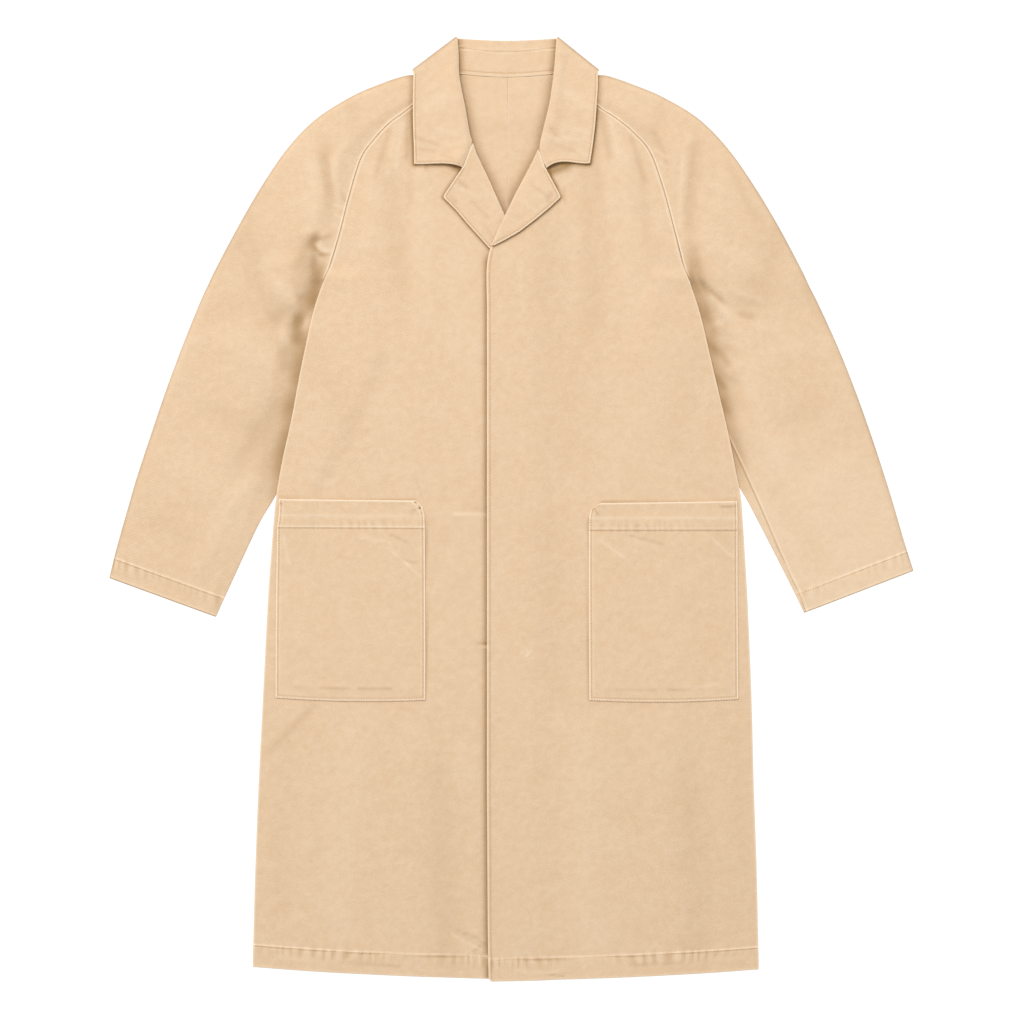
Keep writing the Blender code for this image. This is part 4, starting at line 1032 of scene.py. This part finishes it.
def stitch_mesh(name, carrier, lines, pitch, length, radius):
    """Thread laid on a carrier: one small six-sided bar for each stitch, tapered and closed at both ends."""
    mesh = carrier.data
    places = np.zeros(len(mesh.vertices) * 3)
    mesh.vertices.foreach_get("co", places)
    corners = np.zeros(len(mesh.loops), dtype=np.int32)
    mesh.loops.foreach_get("vertex_index", corners)
    tree = BVHTree.FromPolygons(places.reshape(-1, 3).tolist(), corners.reshape(-1, 4).tolist())
    starts, ends = [], []
    for line in lines:
        path = np.array(line, float)
        travel = np.concatenate([[0], np.cumsum(np.linalg.norm(np.diff(path, axis=0), axis=1))])
        first = np.arange(pitch / 2, travel[-1] - length, pitch)
        for store, place in ((starts, first), (ends, first + length)):
            store.append(np.stack([np.interp(place, travel, path[:, k]) for k in (0, 1)], axis=1))
    flat = [np.concatenate(part) for part in (starts, ends)]
    hits = [[tree.ray_cast((x * MM, y * MM, 1), (0, 0, -1))[0] for x, y in part.tolist()] for part in flat]
    kept = [k for k, (a, b) in enumerate(zip(*hits)) if a is not None and b is not None]
    start, end = (np.array([part[k] for k in kept]) / MM for part in hits)
    middle = (start + end) / 2 + np.array([0, 0, radius * 0.45])
    along = (end - start) / 2
    aside = np.cross(along, (0, 0, 1))
    aside /= np.linalg.norm(aside, axis=1, keepdims=True)
    upward = np.cross(aside, along)
    upward /= np.linalg.norm(upward, axis=1, keepdims=True)
    turn = np.arange(6) * np.pi / 3
    round_part = aside[:, None] * np.cos(turn)[:, None] + upward[:, None] * np.sin(turn)[:, None]
    rings = [
        middle[:, None] + along[:, None] * share + (round_part * scale - (0, 0, sink)) * radius
        for share, scale, sink in ((-1, 0.45, 0.7), (-0.6, 1, 0), (0.6, 1, 0), (1, 0.45, 0.7))
    ]
    vertices = np.stack(rings, axis=1).reshape(-1, 3) * MM
    ring, side = np.meshgrid(np.arange(3) * 6, np.arange(6), indexing="ij")
    after = (side + 1) % 6
    bars = np.stack([ring + side, ring + after, ring + 6 + after, ring + 6 + side], axis=-1).reshape(-1, 4)
    caps = np.array([[3, 2, 1, 0], [5, 4, 3, 0], [18, 19, 20, 21], [18, 21, 22, 23]])
    one = np.vstack([bars, caps])
    faces = (one[None] + 24 * np.arange(len(middle))[:, None, None]).reshape(-1, 4)
    thread_map = np.zeros((len(vertices), 2))
    return mesh_piece(name, vertices, faces, np.zeros(len(vertices)), thread_map)


def leaf_line(side):
    """The outer edge of a collar leaf, from the shoulder fold to its end and back along its bottom edge."""
    table = np.array(FALL[side], float)
    outer, roll = table[5:, 2:4], table[-1, :2]
    share = np.linspace(1, 0.04, 12)[1:]
    bottom = roll + (outer[-1] - roll) * share[:, None]
    bottom[:, 1] += leaf_bowed(share, side)
    return np.vstack([outer, bottom])


def sewn_lines():
    """For each piece with topstitching, the lines its thread follows."""
    stand = np.array(STAND, float)
    lines = {
        "collar_fall": [inset(leaf_line(side), -side * EDGE_STITCH) for side in (LEFT, RIGHT)],
        "collar_stand": [inset(stand[:, :2], STAND_STITCH), STAND_TOP_LINE],
    }
    for side, word in WORDS.items():
        hem, edge = front_lines(side)
        lines[f"front_{word}"] = [hem, edge] if side == RIGHT else [hem]
        cuff = np.array(SLEEVE[side][-1], float).reshape(2, 2)
        lines[f"sleeve_{word}"] = [inset(cuff, -side * CUFF_STITCH)]
        turned = rounded(LAPEL[side], places_along(LAPEL[side], 2.0, read=straight, column=2))[:, 2:4]
        turned = turned[turned[:, 1] < LAPEL_THREAD_TOP[side]]
        lines[f"lapel_{word}"] = [inset(turned, -side * EDGE_STITCH)]
        rows = np.array(POCKET[side], float)
        across = np.linspace(0, 1, 13)[1:-1]
        bottom = rows[-1, :2] + (rows[-1, 2:4] - rows[-1, :2]) * across[:, None]
        bottom[:, 1] -= bowed(across, POCKET_BOW)
        round_edge = np.vstack([rows[:, :2], bottom, rows[::-1, 2:4]])
        band = rows[BAND_ROW].reshape(2, 2) - (0, 0.4)
        lines[f"pocket_{word}"] = [inset(round_edge, EDGE_STITCH), band, POCKET_BARS[side]]
    return lines


def front_lines(side):
    """The lines of thread on a front: along its hem, and down its front edge."""
    points, _, _, above_hem = front_grid(side)
    row = np.abs(above_hem[:, 0] - HEM_STITCH).argmin()
    hem = points[row, 3:-3].copy()
    hem[:, 1] += HEM_STITCH - above_hem[row, 3:-3]
    edge = points[:, -1]
    edge = edge[(edge[:, 1] < EDGE_THREAD[0]) & (edge[:, 1] > EDGE_THREAD[1])]
    return hem, inset(edge, side * FRONT_STITCH)


def linear(hex_colour):
    """A linear colour from an sRGB hex value: ((c + 0.055) / 1.055)^2.4, or c / 12.92 where c is small."""
    value = np.array([int(hex_colour[k:k + 2], 16) for k in (1, 3, 5)]) / 255
    return tuple(np.where(value > 0.04045, ((value + 0.055) / 1.055) ** 2.4, value / 12.92).tolist())


def feed(tree, node, links):
    """Gives each input of a node a value, or the output that feeds it."""
    for socket, source in links.items():
        if isinstance(source, bpy.types.NodeSocket):
            tree.links.new(source, node.inputs[socket])
        else:
            node.inputs[socket].default_value = source


def add_node(tree, kind, settings, links):
    """One node with its settings and inputs."""
    node = tree.nodes.new(kind)
    for name, value in settings.items():
        setattr(node, name, value)
    feed(tree, node, links)
    return node


def new_material(name):
    """An empty material with its node tree, its shader and the places on its object."""
    material = bpy.data.materials.new(name)
    material.use_nodes = True
    tree = material.node_tree
    place = add_node(tree, "ShaderNodeTexCoord", {}, {}).outputs["Object"]
    return material, tree, tree.nodes["Principled BSDF"], place


def mixed(tree, factor, first, second):
    """A colour between two, by a factor."""
    node = add_node(tree, "ShaderNodeMix", {"data_type": "RGBA"}, {0: factor, 6: first, 7: second})
    return node.outputs[2]


def multiplied(tree, value, factor):
    """A value times a factor, kept between 0 and 1."""
    settings = {"operation": "MULTIPLY", "use_clamp": True}
    return add_node(tree, "ShaderNodeMath", settings, {0: value, 1: factor}).outputs[0]


def bumped(tree, links):
    """A normal that follows a height."""
    return add_node(tree, "ShaderNodeBump", {}, links).outputs["Normal"]


def scaled_noise(tree, vector, size_mm, low, high, detail=2.0):
    """Noise whose lumps are about size_mm wide, spread from low to high."""
    noise = add_node(
        tree, "ShaderNodeTexNoise", {"noise_dimensions": "3D"},
        {"Vector": vector, "Scale": 1 / (size_mm * MM), "Detail": detail, "Roughness": 0.55},
    )
    spread = add_node(
        tree, "ShaderNodeMapRange", {"clamp": True},
        {"Value": noise.outputs["Fac"], "From Min": 0.3, "From Max": 0.7, "To Min": low, "To Max": high},
    )
    return spread.outputs["Result"]


def cotton_twill(colours):
    """Garment-washed cotton twill: matt, faintly mottled by the wash, paler where turned edges rub, with
    painted highlights and painted shade.
    """
    material, tree, shader, place = new_material("washed_cotton_twill")
    cloth = add_node(tree, "ShaderNodeUVMap", {"uv_map": "cloth"}, {}).outputs["UV"]
    wear_and_shade = add_node(tree, "ShaderNodeAttribute", {"attribute_name": "wear_and_shade"}, {}).outputs["Fac"]
    # groove is the dark colour of the fine grain and of the painted shade; pale is that of rubbed wear and
    # painted highlights
    pale, deep, groove = (
        (*value, 1) for value in (colours.cloth_pale_wear_and_highlight, colours.cloth_deep, colours.cloth_grain_and_shade)
    )
    turn = {"Vector": cloth, "Rotation": (0, 0, np.radians(TWILL_TURN))}
    turned = add_node(tree, "ShaderNodeMapping", {}, turn).outputs["Vector"]
    scale = 2 * np.pi / (20 * TWILL_GAP * MM)
    twill = add_node(
        tree, "ShaderNodeTexWave", {"wave_type": "BANDS", "bands_direction": "X", "wave_profile": "SIN"},
        {"Vector": turned, "Scale": scale, "Distortion": 1.3, "Detail": 2.0, "Detail Scale": 1.0},
    ).outputs["Fac"]
    # washing leaves clouds a few centimetres wide, smaller rubbed patches and a fine grain
    colour = mixed(tree, scaled_noise(tree, place, 44, 0.0, 0.34, 5.0), (*colours.cloth, 1), deep)
    colour = mixed(tree, scaled_noise(tree, place, 9, 0.0, 0.28, 5.0), colour, pale)
    colour = mixed(tree, multiplied(tree, twill, 0.25), colour, deep)
    colour = mixed(tree, scaled_noise(tree, place, 1.6, 0.0, 0.13), colour, groove)
    # above zero the attribute is rubbed wear and painted highlights, mixed towards pale; below zero it is
    # painted shade, mixed towards the dark colour
    colour = mixed(tree, multiplied(tree, wear_and_shade, 0.85), colour, pale)
    colour = mixed(tree, multiplied(tree, wear_and_shade, -1.0), colour, groove)
    slub = scaled_noise(tree, cloth, 1.4, 0.0, 1.0)
    weave = {0: 0.62, 2: twill, 3: slub}
    surface = add_node(tree, "ShaderNodeMix", {"data_type": "FLOAT"}, weave).outputs[0]
    fine = bumped(tree, {"Strength": 0.55, "Distance": 0.00034, "Height": surface})
    rumple = scaled_noise(tree, place, 26, 0.0, 1.0, 3.0)
    soft = bumped(tree, {"Strength": 0.6, "Distance": 0.0012, "Height": rumple, "Normal": fine})
    feed(tree, shader, {
        "Base Color": colour, "Normal": soft, "Roughness": 0.88, "IOR": 1.46,
        "Specular IOR Level": 0.25, "Sheen Weight": 0.12, "Sheen Roughness": 0.5,
    })
    return material


def sewing_thread(colours):
    """Spun polyester thread in the cloth's colour, smoother than the twill; its darker tone is partly its own
    and partly painted shade of the stitch holes.
    """
    material, tree, shader, place = new_material("spun_polyester_thread")
    twist = scaled_noise(tree, place, 0.6, 0.0, 0.5)
    colour = mixed(tree, twist, (*colours.thread, 1), (*colours.cloth, 1))
    feed(tree, shader, {"Base Color": colour, "Roughness": 0.6, "Specular IOR Level": 0.35})
    return material


def light_table(colours):
    """Opal acrylic lit evenly from below, which gives clothes a white ground without shadows."""
    material, tree, shader, place = new_material("opal_acrylic")
    uneven = scaled_noise(tree, place, 300, 0.0, 0.3)
    glow = mixed(tree, uneven, (*colours.floor, 1), (0.97, 0.97, 0.97, 1))
    feed(tree, shader, {
        "Emission Color": glow, "Emission Strength": FLOOR_GLOW, "Base Color": (0.06, 0.06, 0.06, 1),
        "Roughness": 0.95, "Specular IOR Level": 0.1,
    })
    return material


def colour_setting(label, about, value):
    """A colour the user can set, from its sRGB hex value."""
    return bpy.props.FloatVectorProperty(
        name=label, description=about, subtype="COLOR", size=3, min=0, max=1, default=linear(value)
    )


def number_setting(label, about, value, **limits):
    """A number the user can set."""
    return bpy.props.FloatProperty(name=label, description=about, default=value, **limits)


class CoatColours(bpy.types.PropertyGroup):
    """Colours of the coat and of the light table under it."""

    cloth: colour_setting("Cloth", "Washed sand cotton twill", "#e3c5a4")
    # pale colour of rubbed wear and of painted highlights
    cloth_pale_wear_and_highlight: colour_setting("Worn cloth", "Cloth where turned edges have rubbed pale", "#f6e2c6")
    cloth_deep: colour_setting("Deep cloth", "Darker clouds and furrows of the washed cloth", "#e0bb91")
    # dark colour of the fine grain and of the painted shade in seams, folds and beside pieces that lie on the
    # cloth
    cloth_grain_and_shade: colour_setting("Seam grooves", "Cloth that a seam has kept from fading", "#9a7545")
    # darker than the cloth, partly as painted shade of the stitch holes
    thread: colour_setting("Thread", "Topstitching thread", "#cba076")
    floor: colour_setting("Floor", "Light table under the coat", "#fafafa")


class CoatSizes(bpy.types.PropertyGroup):
    """Sizes of the topstitching in millimetres, and the light."""

    pitch: number_setting("Stitch pitch", "From one stitch to the next", 3.3, min=1.5, max=6)
    stitch: number_setting("Stitch length", "Length of thread that shows", 1.7, min=1, max=5)
    thread: number_setting("Thread radius", "Half the thread's thickness", 0.36, min=0.1, max=0.8)
    softbox: number_setting("Softbox power", "Power of the large soft light", 172.0, min=0, unit="POWER")
    sky: number_setting("Room light", "Strength of the even light from all round", 0.63, min=0)


def dress(piece, node):
    """Puts a finished shell in a CAD node's place in cotton twill, hides the node, and lays the piece's
    topstitching on it.
    """
    colours, sizes = bpy.context.scene.coat_colours, bpy.context.scene.coat_sizes
    piece.data.materials.append(bpy.data.materials.get("washed_cotton_twill") or cotton_twill(colours))
    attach(piece, "root")
    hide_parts(node)
    lines = sewn_lines().get(node)
    if lines:
        seam = stitch_mesh(f"thread_{node}", piece, lines, sizes.pitch, sizes.stitch, sizes.thread)
        seam.data.materials.append(bpy.data.materials.get("spun_polyester_thread") or sewing_thread(colours))
        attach(seam, "root")


def dress_pair(kind, build):
    """The left and the right one of a pair, each put in its CAD node's place."""
    for side, word in WORDS.items():
        node = f"{kind}_{word}"
        dress(build(f"{node}_cloth", side), node)


class COAT_OT_backs(bpy.types.Operator):
    """Two halves of the back, joined by the centre back seam"""

    bl_idname = "coat.backs"
    bl_label = "Back"

    def execute(self, context):
        dress_pair("back", back)
        return {"FINISHED"}


class COAT_OT_fronts(bpy.types.Operator):
    """Two fronts, the right one lapped over the left"""

    bl_idname = "coat.fronts"
    bl_label = "Fronts"

    def execute(self, context):
        dress_pair("front", front)
        return {"FINISHED"}


class COAT_OT_sleeves(bpy.types.Operator):
    """Two raglan sleeves, each one piece from its front seam round to its back seam"""

    bl_idname = "coat.sleeves"
    bl_label = "Sleeves"

    def execute(self, context):
        dress_pair("sleeve", sleeve)
        return {"FINISHED"}


class COAT_OT_collar(bpy.types.Operator):
    """The collar's fall, folded round the neck, and its stand inside"""

    bl_idname = "coat.collar"
    bl_label = "Collar"

    def execute(self, context):
        dress(collar_stand(), "collar_stand")
        dress(collar_fall(), "collar_fall")
        return {"FINISHED"}


class COAT_OT_lapels(bpy.types.Operator):
    """Two lapels, turned back on the fronts"""

    bl_idname = "coat.lapels"
    bl_label = "Lapels"

    def execute(self, context):
        dress_pair("lapel", lapel)
        return {"FINISHED"}


class COAT_OT_pockets(bpy.types.Operator):
    """Two patch pockets, each with a folded band along its top"""

    bl_idname = "coat.pockets"
    bl_label = "Pockets"

    def execute(self, context):
        dress_pair("pocket", pocket)
        return {"FINISHED"}


class COAT_OT_stage(bpy.types.Operator):
    """Light table, soft light and a camera that looks straight down"""

    bl_idname = "coat.stage"
    bl_label = "Stage"

    def execute(self, context):
        scene = context.scene
        mesh = bpy.data.meshes.new("floor")
        corners = [(x * FLOOR_HALF, y * FLOOR_HALF, FLOOR_Z) for x, y in ((-1, -1), (1, -1), (1, 1), (-1, 1))]
        mesh.from_pydata(corners, [], [(0, 1, 2, 3)])
        mesh.materials.append(light_table(scene.coat_colours))
        floor = placed("floor", mesh)
        light = bpy.data.lights.new("softbox", "AREA")
        light.shape = "RECTANGLE"
        light.size, light.size_y = SOFTBOX_SIZE
        light.energy = scene.coat_sizes.softbox
        lamp = placed("softbox", light)
        lamp.location = SOFTBOX_PLACE
        lamp.rotation_euler = Vector(SOFTBOX_PLACE).to_track_quat("Z", "Y").to_euler()
        world = bpy.data.worlds.new("room_light")
        world.use_nodes = True
        room = world.node_tree.nodes["Background"]
        room.inputs["Color"].default_value = (1, 1, 1, 1)
        room.inputs["Strength"].default_value = scene.coat_sizes.sky
        scene.world = world
        lens = bpy.data.cameras.new("camera")
        lens.lens, lens.sensor_width = CAMERA_LENS, CAMERA_SENSOR
        camera = placed("camera", lens)
        camera.location = CAMERA_PLACE
        scene.camera = camera
        scene.view_settings.view_transform = "Standard"
        return {"FINISHED"}


class COAT_PT_panel(bpy.types.Panel):
    """The coat's pieces in the sidebar of the 3D view"""

    bl_label = "Duster coat"
    bl_idname = "COAT_PT_panel"
    bl_space_type = "VIEW_3D"
    bl_region_type = "UI"
    bl_category = "Coat"

    def draw(self, context):
        column = self.layout.column()
        for operator in OPERATORS:
            column.operator(operator.bl_idname)
        for group in (context.scene.coat_sizes, context.scene.coat_colours):
            for name in group.__annotations__:
                column.prop(group, name)


OPERATORS = (
    COAT_OT_backs, COAT_OT_fronts, COAT_OT_sleeves, COAT_OT_collar,
    COAT_OT_lapels, COAT_OT_pockets, COAT_OT_stage,
)
CLASSES = (CoatColours, CoatSizes, *OPERATORS, COAT_PT_panel)


def register():
    for each in CLASSES:
        bpy.utils.register_class(each)
    bpy.types.Scene.coat_colours = bpy.props.PointerProperty(type=CoatColours)
    bpy.types.Scene.coat_sizes = bpy.props.PointerProperty(type=CoatSizes)


def unregister():
    del bpy.types.Scene.coat_sizes
    del bpy.types.Scene.coat_colours
    for each in reversed(CLASSES):
        bpy.utils.unregister_class(each)


def main():
    register()
    bpy.ops.coat.backs()
    bpy.ops.coat.fronts()
    bpy.ops.coat.sleeves()
    bpy.ops.coat.collar()
    bpy.ops.coat.lapels()
    bpy.ops.coat.pockets()
    bpy.ops.coat.stage()


if __name__ == "__main__":
    main()
